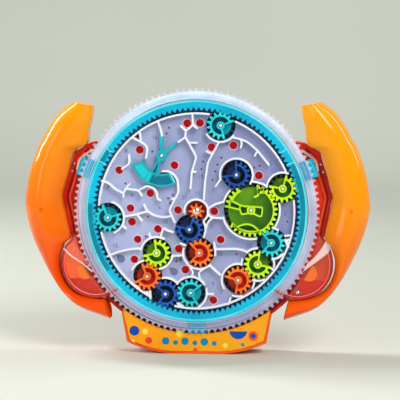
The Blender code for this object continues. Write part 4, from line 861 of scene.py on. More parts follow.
well_shapes, well_finishes = [], []
for number, name in enumerate(GEAR_NAMES):
    centre, reach = facts[name][:2]
    colour = name.split("_")[1]
    level = WELL_FLOOR - (0.06 + 0.012 * number) * MM
    rim = circle(reach + 0.38 * MM, 72, centre)
    well_shapes.append((slab([rim], level, level + 0.04 * MM), len(well_finishes)))
    well_finishes.append(GEAR_SETS[colour]["well"])
sun_slot = len(well_finishes)
sun_edge = [circle(5.7 * MM, 60), circle(5.5 * MM, 60)]
sun_floor = [circle(5.6 * MM, 60), circle(1.6 * MM, 30)]
well_finishes.append(ORANGE_SET["recess"])
well_shapes.append((slab(sun_edge, WELL_FLOOR - 0.3 * MM, WELL_FLOOR), sun_slot))
well_shapes.append((slab(sun_floor, WELL_FLOOR - 0.35 * MM, WELL_FLOOR - 0.2 * MM), sun_slot))
well_floors = piece("well_floors", well_shapes, well_finishes)

for made in (plate, plate_walls, marks, pins, well_floors):
    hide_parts("maze_plate")
    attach(made, "wheel")

# %% [markdown]
# ## The gears
# A small gear has a toothed disc at the back.  In front of it stand twelve raised teeth with a thin ring,
# two spokes and a hub, and one side is open.  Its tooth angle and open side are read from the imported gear,
# so the drawn teeth stand where the teeth that mesh do.  An outline of straight lines is enough for a
# tooth of 1.7 mm: its flanks narrow in three steps, as the real ones do.

# %% Outlines of teeth


def tooth_points(angle, tip, root, centre):
    """One full tooth from the middle of the gap before it, drawn about its own angle."""
    pitch = tip - 0.65 * MM
    return [
        beside(root + 0.25 * MM, angle, -0.86 * MM, centre),
        beside(pitch, angle, -0.6 * MM, centre),
        beside(tip - 0.22 * MM, angle, -0.47 * MM, centre),
        beside(tip, angle, -0.26 * MM, centre),
        beside(tip, angle, 0.26 * MM, centre),
        beside(tip - 0.22 * MM, angle, 0.47 * MM, centre),
        beside(pitch, angle, 0.6 * MM, centre),
        beside(root + 0.25 * MM, angle, 0.86 * MM, centre),
    ]


def toothed(teeth, tip, phase, centre):
    """A whole toothed outline."""
    root = tip - TOOTH_DEPTH
    points = []
    for k in range(teeth):
        points += tooth_points(phase + k * 360 / teeth, tip, root, centre)
        points.append(polar(root, phase + (k + 0.5) * 360 / teeth, centre))
    return points


def raised_teeth(teeth, tip, first, count, centre):
    """The outer edge of a stretch of raised teeth, starting at the tooth at angle first."""
    root = tip - TOOTH_DEPTH
    step = 360 / teeth
    points = []
    for k in range(count):
        tooth = tooth_points(first + k * step, tip, root, centre)
        points += tooth[(1 if k == 0 else 0):(7 if k == count - 1 else 8)]
        if k < count - 1:
            points.append(polar(root, first + (k + 0.5) * step, centre))
    return points


# %% Small gears


def small_gear(name):
    """One gear of fifteen teeth: a back disc, a shaded C, an open fan and the raised front."""
    centre, tip, after_gap = facts[name]
    teeth = 15
    step = 360 / teeth
    phase = after_gap + math.degrees(0.24 * MM / tip)
    root = tip - TOOTH_DEPTH
    hub, recess, half = 2.3 * MM, 5.1 * MM, 0.42 * MM
    raised_count = teeth - 3
    last = phase + (raised_count - 1) * step
    outer = raised_teeth(teeth, tip, phase, raised_count, centre)
    outer += [beside(hub, last, half, centre)]
    outer += arc(hub, last + 14, phase + 360 - 14, 8, centre)
    outer += [beside(hub, phase, -half, centre)]
    hollow = [beside(hub, phase, half, centre), beside(recess, phase, half, centre)]
    hollow += arc(recess, phase + 6, last - 6, 6, centre)
    hollow += [beside(recess, last, -half, centre), beside(hub, last, -half, centre)]
    hollow += arc(hub, last - 14, phase + 14, 10, centre)
    bore = circle(BORE_RADIUS, 28, centre)
    word = name.split("_")[1]
    colours = GEAR_SETS[word]
    floor = GEAR_STEP - 0.12 * MM
    inner, outside, gap = 1.6 * MM, recess + 0.3 * MM, 0.2 * MM
    c_shape = [beside(inner, phase, gap, centre), beside(outside, phase, gap, centre)]
    c_shape += arc(outside, phase + 4, last - 4, 6, centre)
    c_shape += [beside(outside, last, -gap, centre), beside(inner, last, -gap, centre)]
    c_shape += arc(inner, last - 12, phase + 12, 12, centre)
    fan = [beside(inner, last, gap, centre)] + arc(root - 0.1 * MM, last, phase + 360, 6, centre)
    fan += [beside(inner, phase, -gap, centre)] + arc(inner, phase + 350, last + 10, 12, centre)
    shapes = [
        (slab([toothed(teeth, tip, phase, centre), bore], GEAR_STEP, GEAR_BACK, 0.08 * MM), 3),
        (slab([c_shape], floor, GEAR_STEP + 0.3 * MM), 1),
        (slab([fan], floor, GEAR_STEP + 0.3 * MM, 0.04 * MM), 2),
        (slab([outer, hollow, bore], GEAR_FRONT, GEAR_STEP + 0.2 * MM, 0.14 * MM), 0),
    ]
    finishes = [colours["raised"], colours["recess"], colours["open"], colours["deep"]]
    made = piece(name + "_look", shapes, finishes)
    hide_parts(name)
    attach(made, name)


for name in GEAR_NAMES:
    if name != "gear_lime_big":
        small_gear(name)

# %% [markdown]
# ## The large lime gear
# Its front carries two stretches of teeth with a thin ring, a slot that runs to the hub, a bow tie
# about the hub, a wrench and a lens.  The drawing is in millimetres from its centre.

# %% Large gear


def line(points, width=0.85, radius=0.8):
    """A raised line on the large gear's front."""
    drawn = rounded([(x * MM, z * MM) for x, z in points], radius * MM)
    return wall(moved(drawn, big_centre), GEAR_STEP, GEAR_FRONT, width * MM, 0.2 * MM)


def patch(points, depth, radius=0.5):
    """A patch of painted shade on the large gear's front, depth millimetres in front of the back disc."""
    drawn = rounded([(x * MM, z * MM) for x, z in points], radius * MM, closed=True)
    return slab([moved(drawn, big_centre)], GEAR_STEP - depth * MM, GEAR_STEP + 0.3 * MM, 0.05 * MM)


big_centre, big_tip, big_after = facts["gear_lime_big"]
# The large gear's face is painted lighter towards the upper left, over 18 mm about its centre: painted
# light.
lit_at = float(0.7 * (big_centre[1] + AXLE_Z) - 0.7 * big_centre[0])
BIG_FACE_LIT = plastic("lime ABS, large gear face", "#62A000", "#285C00", 0.2, 90.0, 0.08,
                   ((-0.7, 0.0, 0.7), lit_at - 9 * MM, lit_at + 9 * MM))
big_root = big_tip - TOOTH_DEPTH
big_step = 12.0
big_phase = big_after + math.degrees(0.24 * MM / big_tip)


def tooth_near(angle):
    """The raised tooth's angle that is nearest to this one."""
    return big_phase + round((angle - big_phase) / big_step) * big_step


left_first, left_last = tooth_near(119), tooth_near(172)
right_first, right_last = tooth_near(216) - 360, tooth_near(70)
left_count = round((left_last - left_first) / big_step) + 1
right_count = round((right_last - right_first) / big_step) + 1
print(f"large gear: {left_count} raised teeth on the left, {right_count} on the right")
left_edge = raised_teeth(30, big_tip, left_first, left_count, big_centre)
left_edge += moved([(-11.9 * MM, 3.9 * MM), (-10.3 * MM, 5.9 * MM), (-9.3 * MM, 7.6 * MM),
                    (-7.8 * MM, 9.4 * MM), (-5.6 * MM, 11.0 * MM)], big_centre)
right_edge = raised_teeth(30, big_tip, right_first, right_count, big_centre)
right_edge += arc(big_root - 0.8 * MM, right_last, right_first, 5.0, big_centre)
lime_shapes = [
    (slab([toothed(30, big_tip, big_phase, big_centre), circle(BORE_RADIUS, 28, big_centre)],
          GEAR_STEP, GEAR_BACK, 0.08 * MM), 3),
    (slab([circle(big_root - 0.1 * MM, 120, big_centre), circle(1.5 * MM, 28, big_centre)],
          GEAR_STEP - 0.06 * MM, GEAR_STEP + 0.3 * MM), 2),
    (slab([left_edge], GEAR_FRONT, GEAR_STEP + 0.2 * MM, 0.14 * MM), 0),
    (slab([right_edge], GEAR_FRONT, GEAR_STEP + 0.2 * MM, 0.14 * MM), 0),
    (turned(rounded([(BORE_RADIUS, GEAR_STEP), (BORE_RADIUS, GEAR_FRONT), (2.5 * MM, GEAR_FRONT),
                     (2.5 * MM, GEAR_STEP)], 0.2 * MM, closed=True, steps=3), 40, big_centre), 0),
    (patch([(-6.2, 2.5), (6.1, 1.8), (6.3, -3.3), (1.8, -2.0), (-2.0, -1.8), (-5.7, -2.3)], 0.14), 1),
    (patch([(-12.2, 4.7), (-6.2, 2.7), (-6.6, 0.6), (-12.4, 1.9)], 0.1), 1),
    (patch([(-6.7, -10.4), (-5.4, -8.9), (-2.5, -8.0), (0.9, -8.9), (3.4, -11.3), (2.6, -12.2),
            (-0.5, -12.5), (-4.0, -12.0)], 0.12), 1),
    (line([(-12.2, 5.9), (-11.1, 5.3), (-6.4, 3.0), (-3.8, 2.35), (1.8, 2.15), (6.3, 1.7), (6.6, 0.6),
           (6.1, -3.3), (5.0, -3.55), (1.7, -2.05)]), 0),
    (line([(-6.2, 2.8), (-6.6, 1.2), (-6.0, -1.0), (-5.5, -2.4), (-2.0, -1.75)]), 0),
    (line([(-14.4, 2.2), (-12.1, 1.7), (-6.6, 0.45)]), 0),
    (line([(-12.1, 4.9), (-12.4, 2.0)]), 0),
    (line([(-8.4, -10.1), (-6.1, -8.75), (-2.5, -7.8), (1.2, -8.8), (3.8, -11.0), (5.0, -12.4)],
          0.85, 1.8), 0),
    (line([(-8.2, -10.2), (-6.5, -11.2), (-3.8, -12.2), (-0.5, -12.7), (4.6, -12.3)], 1.3, 1.8), 0),
    (line([(-10.9, -7.9), (-9.6, -9.1), (-8.1, -10.3)], 1.1), 0),
    (line([(2.1, 7.9), (4.0, 8.5), (4.5, 11.0), (4.3, 13.8)], 1.3, 0.9), 0),
    (line([(4.4, 10.9), (5.6, 11.6), (7.0, 13.0)], 1.5), 0),
    (line([(4.6, 11.4), (5.0, 12.3)], 1.6), 0),
    (line([(4.4, 10.2), (7.3, 10.6)], 1.3), 0),
]
big_look = piece("gear_lime_big_look", lime_shapes,
                 [LIME_SET["raised"], LIME_SET["recess"], BIG_FACE_LIT, LIME_SET["deep"]])
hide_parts("gear_lime_big")
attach(big_look, "gear_lime_big")

# %% [markdown]
# ## The ring gear
# A cyan ring with 120 inner teeth, a shallow groove near its outer edge and three lugs.  The ring is one
# filled outline with teeth, and its grooved edge is turned, with a painted highlight.  Some facets are
# painted darker, a painted shade where the ring turns from the light, and each ends in a short curved
# step drawn as a painted highlight.  Three ridges with painted highlights cross each lug, and the lugs
# have a painted glow.

# %% Ring gear
teeth_line = []
for k in range(120):
    at = k * 3.0
    teeth_line += [beside(RING_TIP, at, -0.24 * MM), beside(RING_TIP, at, 0.24 * MM),
                   polar(RING_ROOT, at + 1.5)]
outer_edge = circle(RING_OUTER - 0.9 * MM, 240)
ring_shapes = [
    (slab([outer_edge, teeth_line], RING_FRONT + 0.35 * MM, RING_BACK, 0.12 * MM), 0),
    (turned(rounded([
        (RING_OUTER - 1.5 * MM, RING_FRONT + 0.6 * MM),
        (RING_OUTER - 1.3 * MM, RING_FRONT),
        (RING_OUTER - 0.75 * MM, RING_FRONT),
        (RING_OUTER - 0.7 * MM, RING_FRONT + 0.25 * MM),
        (RING_OUTER - 0.45 * MM, RING_FRONT + 0.25 * MM),
        (RING_OUTER - 0.4 * MM, RING_FRONT),
        (RING_OUTER, RING_FRONT + 0.15 * MM),
        (RING_OUTER, RING_BACK),
        (RING_OUTER - 1.5 * MM, RING_BACK),
    ], 0.15 * MM, closed=True, steps=2), 240), 2),
]
for angle in LUG_ANGLES:
    lug = [beside(RING_OUTER - 2 * MM, angle, -LUG_HALF), beside(LUG_REACH, angle, -LUG_HALF),
           beside(LUG_REACH, angle, LUG_HALF), beside(RING_OUTER - 2 * MM, angle, LUG_HALF)]
    ring_shapes.append((slab([rounded(lug, 0.8 * MM, closed=True)], LUG_FRONT, LUG_BACK, 0.3 * MM), 3))
for first, last in ((144.0, 153.4), (-26.0, 26.6), (176.0, 214.0)):
    facet = arc(RING_OUTER - 1.35 * MM, first, last, 1.5) + arc(RING_ROOT + 0.05 * MM, last, first, 1.5)
    ring_shapes.append((slab([facet], RING_FRONT + 0.2 * MM, RING_FRONT + 0.6 * MM, 0.1 * MM), 1))
# Radius in millimetres and angle of each step's points.
RING_STEPS = [
    [(64.2, 144.3), (62.6, 144.9), (61.0, 145.3), (59.2, 144.7)],
    [(64.3, 153.4), (62.8, 152.8), (61.3, 152.6), (59.2, 153.0)],
    [(64.2, 27.2), (62.6, 27.0), (61.0, 27.1), (59.2, 27.6)],
    [(64.2, 35.7), (62.6, 35.1), (61.0, 34.7), (59.2, 35.3)],
]
for step in RING_STEPS:
    path = rounded([polar(radius * MM, angle) for radius, angle in step], 0.8 * MM)
    ring_shapes.append((wall(path, RING_FRONT + 0.5 * MM, RING_FRONT + 0.02 * MM, 0.75 * MM, 0.1 * MM), 2))
for outward in (2.35, 5.41, 7.62):  # millimetres beyond the ring
    for angle in LUG_ANGLES:
        path = arc(RING_OUTER + outward * MM, angle - 4.0, angle + 4.0, 1.0)
        ridge = wall(path, LUG_FRONT + 0.2 * MM, LUG_FRONT - 0.15 * MM, 0.5 * MM, 0.1 * MM)
        ring_shapes.append((ridge, 2))
ring_look = piece("ring_gear_look", ring_shapes, [CYAN, CYAN_SHADE, CYAN_HIGHLIGHT, CYAN_LUG_GLOW])
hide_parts("ring_gear")
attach(ring_look, "frame")

# %% [markdown]
# ## The clear wheel
# The real wheel is one clear moulding.  Its window is nearly unseen, so its alpha is very low.  The rim
# shows white, because light runs into the clear plastic and leaves at its edges.  Here that is painted
# light: the pale slip band of the tray, painted lighter at the top and glowing, gives the white, the rim
# over it is thin, four fine ridges carry painted highlights, and 120 thumb teeth stand round it.  White
# layers that lie over one another add up to grey, so there are few.

# %% Clear wheel
window_profile = rounded([(0.0, WINDOW_FRONT), (WINDOW_RADIUS, WINDOW_FRONT),
                          (WINDOW_RADIUS + 1.2 * MM, WINDOW_FRONT + 1.4 * MM),
                          (WINDOW_RADIUS - 0.1 * MM, WINDOW_BACK), (0.0, WINDOW_BACK)],
                         0.3 * MM, steps=3)
window = piece("window", [(turned(window_profile, 180, closed=False), 0)], [WINDOW])
band = rounded([(RIM_INNER, RIM_BACK), (RIM_INNER, RIM_FRONT - 0.7 * MM),
                (RIM_INNER + 1.4 * MM, RIM_FRONT - 0.5 * MM), (RIM_ROOT, RIM_FRONT + 0.2 * MM),
                (RIM_ROOT, RIM_BACK)], 0.3 * MM, steps=3)
rim_shapes = [(turned(band, 240, closed=False), 0)]
# Each ridge's radius, half width and height over the rim, in millimetres.
RIM_RIDGES = [(65.05, 0.2, 0.95), (66.4, 0.06, 0.75), (67.6, 0.13, 0.5), (69.1, 0.08, 0.3)]
for radius, width, height in RIM_RIDGES:
    line_radius, top = radius * MM, RIM_FRONT - height * MM
    rim_shapes.append((turned(rounded([
        (line_radius - width * MM, top + 0.5 * MM), (line_radius - width * 0.5 * MM, top),
        (line_radius + width * 0.5 * MM, top), (line_radius + width * MM, top + 0.5 * MM)],
        0.1 * MM, closed=True, steps=2), 240), 1))
thumb = []
for k in range(120):
    at = k * 3.0
    thumb += [beside(RIM_TIP, at, -0.35 * MM), beside(RIM_TIP, at, 0.35 * MM),
              beside(RIM_ROOT, at, 1.15 * MM), beside(RIM_ROOT, at + 3.0, -1.15 * MM)]
rim_shapes.append((slab([thumb, circle(RIM_ROOT - 0.5 * MM, 240)], RIM_FRONT, RIM_BACK, 0.12 * MM), 2))
rim = piece("thumb_rim", rim_shapes, [RIM_CLEAR, RIM_HIGHLIGHT, RIM_TOOTH], 25.0)
for made in (window, rim):
    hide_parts("clear_cover")
    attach(made, "wheel")

# %% [markdown]
# ## The red tray, its pockets and the label box
# One red moulding carries everything: a round rim about the wheel, an angular shoulder and a half-round
# ball pocket on each side, and the label box as a foot.  From the front each is an outline, worked out
# from circles and where they meet.  The law of cosines gives the angle at which two circles cross.

# %% Outlines of the tray
POCKET_WALL = 73.3 * MM  # radius about the axle of the wall between wheel and pocket


def pocket_outline(radius, wall_radius, side):
    """The part of a pocket's circle that lies outside the wheel's rim."""
    apart = math.hypot(*POCKET_AT)
    from_pocket = (radius**2 + apart**2 - wall_radius**2) / (2 * radius * apart)
    from_axle = (wall_radius**2 + apart**2 - radius**2) / (2 * wall_radius * apart)
    inward = math.degrees(math.atan2(-POCKET_AT[1], -POCKET_AT[0]))
    outward = math.degrees(math.atan2(POCKET_AT[1], POCKET_AT[0]))
    spread, reach = math.degrees(math.acos(from_pocket)), math.degrees(math.acos(from_axle))
    points = arc(radius, inward + spread - 360, inward - spread, 4, POCKET_AT)
    points += arc(wall_radius, outward + reach, outward - reach, 3)[1:-1]
    return points if side > 0 else mirrored(points)


def tray_outline():
    """A top arc, two shoulders, two pockets and a bottom arc."""
    apart = math.hypot(*POCKET_AT)
    meets = (TRAY_BOTTOM**2 + apart**2 - POCKET_OUTER**2) / (2 * TRAY_BOTTOM * apart)
    meet_angle = math.degrees(math.atan2(POCKET_AT[1], -POCKET_AT[0])) + math.degrees(math.acos(meets))
    meet = polar(TRAY_BOTTOM, meet_angle)
    shoulder = on_board(SHOULDER_PX)
    centre = (-POCKET_AT[0], POCKET_AT[1])
    start = math.degrees(math.atan2(shoulder[-1][1] - centre[1], shoulder[-1][0] - centre[0]))
    end = math.degrees(math.atan2(meet[1] - centre[1], meet[0] - centre[0])) % 360
    left = arc(TRAY_TOP, 90, 141.0, 3)[1:] + rounded([shoulder[0]] + shoulder, 0.7 * MM)[1:-1]
    left += arc(POCKET_OUTER, start, end, 4, centre)
    left += arc(TRAY_BOTTOM, meet_angle % 360, 270, 3)[1:-1]
    return [(0.0, TRAY_TOP)] + left + [(0.0, -TRAY_BOTTOM)] + mirrored(left)


def box_outline(border, top_radius, with_top=True):
    """The label box from the front, drawn in by border, with its top arc or only its sides and bottom.

    The bottom is flat for 12 mm to each side, where the toy stands, and then rises with the square of the
    way to its corner.
    """
    half_bottom, half_top, land, rise_by = 40.8 * MM, 43.9 * MM, 12.0 * MM, 6.7 * MM

    def bottom(x):
        """The height of the bottom edge at x, from the axle."""
        share = max(0.0, (abs(x) - land) / (half_bottom - border - land))
        return -AXLE_Z + border + rise_by * share**2

    half = half_bottom - border
    low = (half, bottom(half))
    x = half_top - border
    z = -math.sqrt(BOX_TOP**2 - x * x)
    length = math.dist(low, (x, z))
    up = ((x - low[0]) / length, (z - low[1]) / length)
    along = x * up[0] + z * up[1]
    rise = -along - math.sqrt(along**2 - BOX_TOP**2 + top_radius**2)
    end = math.degrees(math.atan2(z + rise * up[1], x + rise * up[0]))
    top = arc(top_radius, end, -180 - end, 3)
    points = top if with_top else [top[-1]]
    for step in range(10):
        share = -1.0 + step * 0.068
        points.append((share * half, bottom(share * half)))
    points.append((-land, -AXLE_Z + border))
    points += mirrored(points[-11:])
    return points if with_top else points + [top[0]]


def clear_of(points, radius):
    """The same outline, pushed out from the axle where it comes nearer than radius."""
    made = []
    for x, z in points:
        away = math.hypot(x, z)
        grow = max(1.0, radius / away)
        made.append((x * grow, z * grow))
    return made


# %% [markdown]
# ### The tray itself
# A thin plate is the back, a thick one with three openings is the rim with its shoulders and pockets, and
# a thin layer inside is the floor that shows through the ball holes, with a painted glow.  The box is a
# frame about the label.  Lines, a channel in painted shade and a bevel with a painted highlight follow each
# shoulder, and small steel domes sit beside the rim.

# %% Tray
outline = tray_outline()
left_pocket = pocket_outline(POCKET_INNER, POCKET_WALL, -1)
right_pocket = pocket_outline(POCKET_INNER, POCKET_WALL, 1)
print(f"tray outline: {len(outline)} points, {2 * max(outline)[0] / MM:.1f} mm wide")
tray_shapes = [
    (slab([outline], TRAY_FLOOR, TRAY_BACK, 0.5 * MM), 0),
    (slab([circle(TRAY_INNER - 0.1 * MM, 180), left_pocket, right_pocket],
          TRAY_FLOOR - 0.15 * MM, TRAY_FLOOR + 0.2 * MM), 1),
    (slab([outline, circle(TRAY_INNER, 180), left_pocket, right_pocket],
          TRAY_FRONT, TRAY_FLOOR + 0.8 * MM, 0.35 * MM), 0),
    (turned(rounded([
        (BOSS_BORE, -0.6 * MM), (BOSS_RADIUS, -0.6 * MM),
        (BOSS_RADIUS, TRAY_FLOOR + 0.5 * MM), (BOSS_BORE, TRAY_FLOOR + 0.5 * MM),
    ], 0.2 * MM, closed=True), 48), 0),
]
box_out, box_in = box_outline(0.0, BOX_TOP), box_outline(BOX_WALL, BOX_WINDOW_TOP)
tray_shapes.append((slab([box_out, box_in], -3.9 * MM, BOX_BACK, 0.5 * MM), 0))
tray_shapes.append((slab([box_outline(1.0 * MM, BOX_TOP - 0.8 * MM)], -3.9 * MM, -1.9 * MM, 0.1 * MM), 0))
box_lip = box_outline(0.0, BOX_TOP, with_top=False)
box_lip += box_outline(1.25 * MM, BOX_TOP - 1.2 * MM, with_top=False)[::-1]
tray_shapes.append((slab([box_lip], BOX_FRONT, -3.0 * MM, 0.3 * MM), 2))
for path, top, width, slot in ((SHOULDER_LINE_PX, -1.1, 1.0, 2), (SHOULDER_CHANNEL_PX, -0.12, 1.3, 3)):
    drawn = rounded(on_board(path), 1.5 * MM)
    for points in (drawn, mirrored(drawn)):
        tray_shapes.append((wall(points, 0.4 * MM, TRAY_FRONT + top * MM, width * MM, 0.1 * MM), slot))
# A painted highlight lies along each shoulder's bevel.
bevel = rounded(on_board(SHOULDER_GLEAM_PX), 1.5 * MM)
for points in (bevel, mirrored(bevel)):
    tray_shapes.append((wall(points, 0.4 * MM, TRAY_FRONT - 1.3 * MM, 1.5 * MM, 0.4 * MM), 5))
# The pale band behind the clear rim, painted lighter at the top and glowing, and the painted shade of its
# lower teeth on the red floor.
slip_band = [circle(SLIP_OUTER, 180), circle(SLIP_INNER, 180)]
tray_shapes.append((slab(slip_band, -0.3 * MM, 0.0, 0.05 * MM), 4))
dome = [(0.0, -0.75 * MM), (0.6 * MM, -0.65 * MM), (0.95 * MM, -0.3 * MM), (1.0 * MM, 0.2 * MM)]
for at in SHOULDER_DOMES_PX:
    x, z = from_photo(at, BOARD_SCALE)
    for place in ((x, z), (-x, z)):
        tray_shapes.append((turned(dome, 20, place, closed=False), 6))
teeth_shade = arc(73.2 * MM, 214.0, 326.0, 2) + arc(RIM_ROOT, 326.0, 214.0, 2)
tray_shapes.append((slab([teeth_shade], -0.22 * MM, 0.0, 0.03 * MM), 3))
tray = piece("red_tray", tray_shapes, [RED, RED_FLOOR_GLOW, LABEL_RIM, RED_DARK, SLIP, HOOD_GLEAM, STEEL])
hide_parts("back_tray")
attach(tray, "frame")

# %% [markdown]
# ### The label
# The foot box holds a printed plate.  Its print here is a plain pattern of dots in the toy's own colours:
# each dot is a very thin disc, a few hundredths of a millimetre proud, so that it can't flicker.

# %% Label plate
# A dot's picture point, its radius in points and its colour's slot.
LABEL_DOTS = [
    (134.5, 331.5, 5.0, 1), (145.2, 332.2, 3.0, 4), (149.0, 341.3, 3.5, 3), (180.0, 333.8, 3.6, 4),
    (254.0, 335.5, 4.8, 3), (254.0, 335.5, 2.6, 1), (226.0, 345.5, 2.6, 4), (196.0, 350.6, 2.4, 3),
    (166.0, 341.5, 3.8, 2), (176.0, 343.0, 2.4, 2), (185.5, 341.6, 3.8, 2), (195.5, 343.2, 2.4, 2),
    (205.0, 342.0, 3.8, 2), (215.0, 343.4, 2.4, 2), (133.0, 342.5, 2.0, 4), (243.5, 344.5, 1.8, 2),
]


def label_dot(number, x, y, radius, start=0, end=352):
    """A round print on the label, or a part of a round one, at a picture point with a radius in points."""
    at = from_photo((x, y), BOARD_SCALE)
    front = -5.32 * MM - number * 0.006 * MM
    return slab([arc(radius * BOARD_SCALE, start, end, 8, at)], front, -5.2 * MM)


label_shapes = [(slab([box_outline(1.45 * MM, 71.9 * MM)], -5.28 * MM, -4.2 * MM, 0.1 * MM), 0)]
for number, (x, y, radius, slot) in enumerate(LABEL_DOTS):
    label_shapes.append((label_dot(number, x, y, radius), slot))
label_shapes.append((label_dot(20, 239.0, 329.8, 9.0, 188, 352), 1))
label_finishes = [LABEL, LABEL_BLUE, LABEL_TEAL, LABEL_RED, LABEL_YELLOW]
plate_label = piece("label_plate_look", label_shapes, label_finishes)
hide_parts("label_plate")
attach(plate_label, "frame")

# %% [markdown]
# ### Pocket hoods and posts
# A clear red hood covers each pocket.  It is thick at its edge, which therefore looks crimson, and nearly
# clear in its face.  A painted highlight crosses the right one, and a painted highlight line and a pale
# pink painted highlight lie on the left one, drawn on the face; a paler step line round each is a painted
# highlight too.  Behind them stand an orange post and an orange shelf that fills the upper pocket, the
# left shelf painted lit and the right one painted in shade, both with a painted glow.

# %% Pocket hoods and posts
HOOD_SWEEP_HIGHLIGHT_PX = [(330.0, 249.0), (322.4, 256.3), (311.9, 263.0), (302.5, 271.0)]
HOOD_PINK_HIGHLIGHT_PX = [(328.0, 246.5), (321.5, 242.5), (317.5, 246.0), (310.0, 255.5), (304.0, 266.0),
                (312.0, 261.5), (322.4, 254.5)]
SHELF_LOW = -41.0 * MM
HOOD_GLEAM_PX = [(327.0, 236.0), (330.5, 244.3), (328.5, 250.5), (320.9, 256.9), (311.7, 263.8),
                 (303.0, 270.3), (307.5, 262.0), (315.1, 255.0), (320.9, 247.7), (325.0, 240.8)]
for side, word in ((-1, "left"), (1, "right")):
    hood_out = pocket_outline(POCKET_OUTER, 72.0 * MM, side)
    hood_in = pocket_outline(POCKET_INNER, POCKET_WALL, side)
    pocket_at = (side * POCKET_AT[0], POCKET_AT[1])
    line_start, line_end = (-146, 36) if side > 0 else (144, 326)
    hood_shapes = [
        (slab([hood_out, hood_in], HOOD_FRONT + 0.3 * MM, HOOD_BACK, 0.3 * MM), 0),
        (slab([hood_out], HOOD_FRONT, HOOD_FRONT + 1.3 * MM, 0.6 * MM, 4), 0),
        (wall(arc(POCKET_OUTER - 0.6 * MM, line_start, line_end, 4, pocket_at),
              HOOD_BACK, HOOD_FRONT + 0.3 * MM, 1.1 * MM), 1),
        (wall(arc(POCKET_OUTER - 2.0 * MM, line_start + 5, line_end - 5, 4, pocket_at),
              HOOD_FRONT + 0.4 * MM, HOOD_FRONT - 0.05 * MM, 0.6 * MM, 0.1 * MM), 2),
    ]
    if side > 0:
        gleam = rounded(on_board(HOOD_GLEAM_PX), 0.8 * MM, closed=True)
        hood_shapes.append((slab([gleam], HOOD_FRONT - 0.06 * MM, HOOD_FRONT + 0.1 * MM), 3))
    else:
        # A painted highlight line and a pale pink painted highlight on the left hood.
        sweep_highlight = rounded(mirrored(on_board(HOOD_SWEEP_HIGHLIGHT_PX)), 1.5 * MM)
        pink = rounded(mirrored(on_board(HOOD_PINK_HIGHLIGHT_PX)), 0.8 * MM, closed=True)
        hood_shapes.append(
            (wall(sweep_highlight, HOOD_FRONT + 0.2 * MM, HOOD_FRONT - 0.1 * MM, 0.9 * MM, 0.1 * MM), 3))
        hood_shapes.append((slab([pink], HOOD_FRONT - 0.06 * MM, HOOD_FRONT + 0.1 * MM), 4))
    hood = piece(f"{word}_hood", hood_shapes, [HOOD_RED, HOOD_RIM, HOOD_LINE, HOOD_GLEAM, HOOD_PINK])
    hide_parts(f"{word}_pocket_hood")
    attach(hood, "frame")
    at = (side * POST_AT[0], POST_AT[1])
    round_post = [polar(POST_RADIUS, a, at) for a in range(0, 360, 5)]
    pocket = pocket_outline(POCKET_INNER - 0.3 * MM, 73.8 * MM, side)
    shelf = [point for point in pocket if point[1] > SHELF_LOW]
    post = piece(f"{word}_post", [
        (slab([clear_of(round_post, 73.7 * MM)], -4.9 * MM, 8.7 * MM, 0.4 * MM), 0),
        (slab([shelf], -0.3 * MM, 8.7 * MM, 0.3 * MM), 1 if side > 0 else 2),
    ], [POST, SHELF_SHADE, SHELF_LIT])
    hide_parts(f"{word}_pocket_post")
    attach(post, "frame")

# %% [markdown]
# ## The handles
# Each handle is two shells that meet at a seam.  A row of cross-sections gives the outer edge, a ridge
# and the inner edge, and the rows are blended along the handle by a smooth curve.  So the shell is a
# surface of two parameters, along the handle and across it, and long highlights can run down it.  A box
# that was rounded at its edges would break them.

# %% Handles


def along_curve(rows, steps):
    """A smooth curve through rows of numbers, steps points for each gap.

    Between rows b and c, with a before and d after, it is the cubic with the slopes (c - a) / 2 at b and
    (d - b) / 2 at c.
    """
    rows = np.array(rows)
    padded = np.vstack([2 * rows[0] - rows[1], rows, 2 * rows[-1] - rows[-2]])
    made = []
    for i in range(1, len(padded) - 2):
        a, b, c, d = padded[i - 1:i + 3]
        for k in range(steps):
            t = k / steps
            made.append(0.5 * (2 * b + (c - a) * t + (2 * a - 5 * b + 4 * c - d) * t * t
                               + (3 * b - a - 3 * c + d) * t**3))
    made.append(rows[-1])
    return np.array(made)


def section(row):
    """One front half of a cross-section as (x, depth, z), rounded at the ridge and the two edges.

    From the outer edge to the ridge the depth is rim + (ridge - rim) (1 - (1 - u)^1.8)^(1 / 1.5), and from
    there to the inner edge lip + (ridge - lip) (1 - u^1.9)^(1 / 1.35), with u from 0 to 1.
    """
    outer, ridge, inner = row[0:2], row[2:4], row[4:6]
    width = np.linalg.norm(inner - outer)
    across = (inner - outer) / width
    share = row[6]
    middle = float(np.dot(ridge - outer, across))
    off_line = ridge - outer - across * middle
    rim, ridge_depth, lip = share * HANDLE_RIM, share * HANDLE_DEPTH, share * HANDLE_LIP
    curve = [(0.0, HANDLE_SEAM)]
    for k in range(13):
        u = 1 - math.cos(math.radians(7.5 * k))
        curve.append((middle * u, rim + (ridge_depth - rim) * (1 - (1 - u)**1.8)**(1 / 1.5)))
    for k in range(1, 11):
        u = math.sin(math.radians(9 * k))
        curve.append((middle + (width - middle) * u, lip + (ridge_depth - lip) * (1 - u**1.9)**(1 / 1.35)))
    curve.append((width, HANDLE_SEAM))
    made = []
    for reach, depth in curve:
        lean = 1 - abs(reach - middle) / max(middle, width - middle)
        spot = outer + across * reach + off_line * max(lean, 0.0)
        made.append((spot[0], depth, spot[1]))
    return made


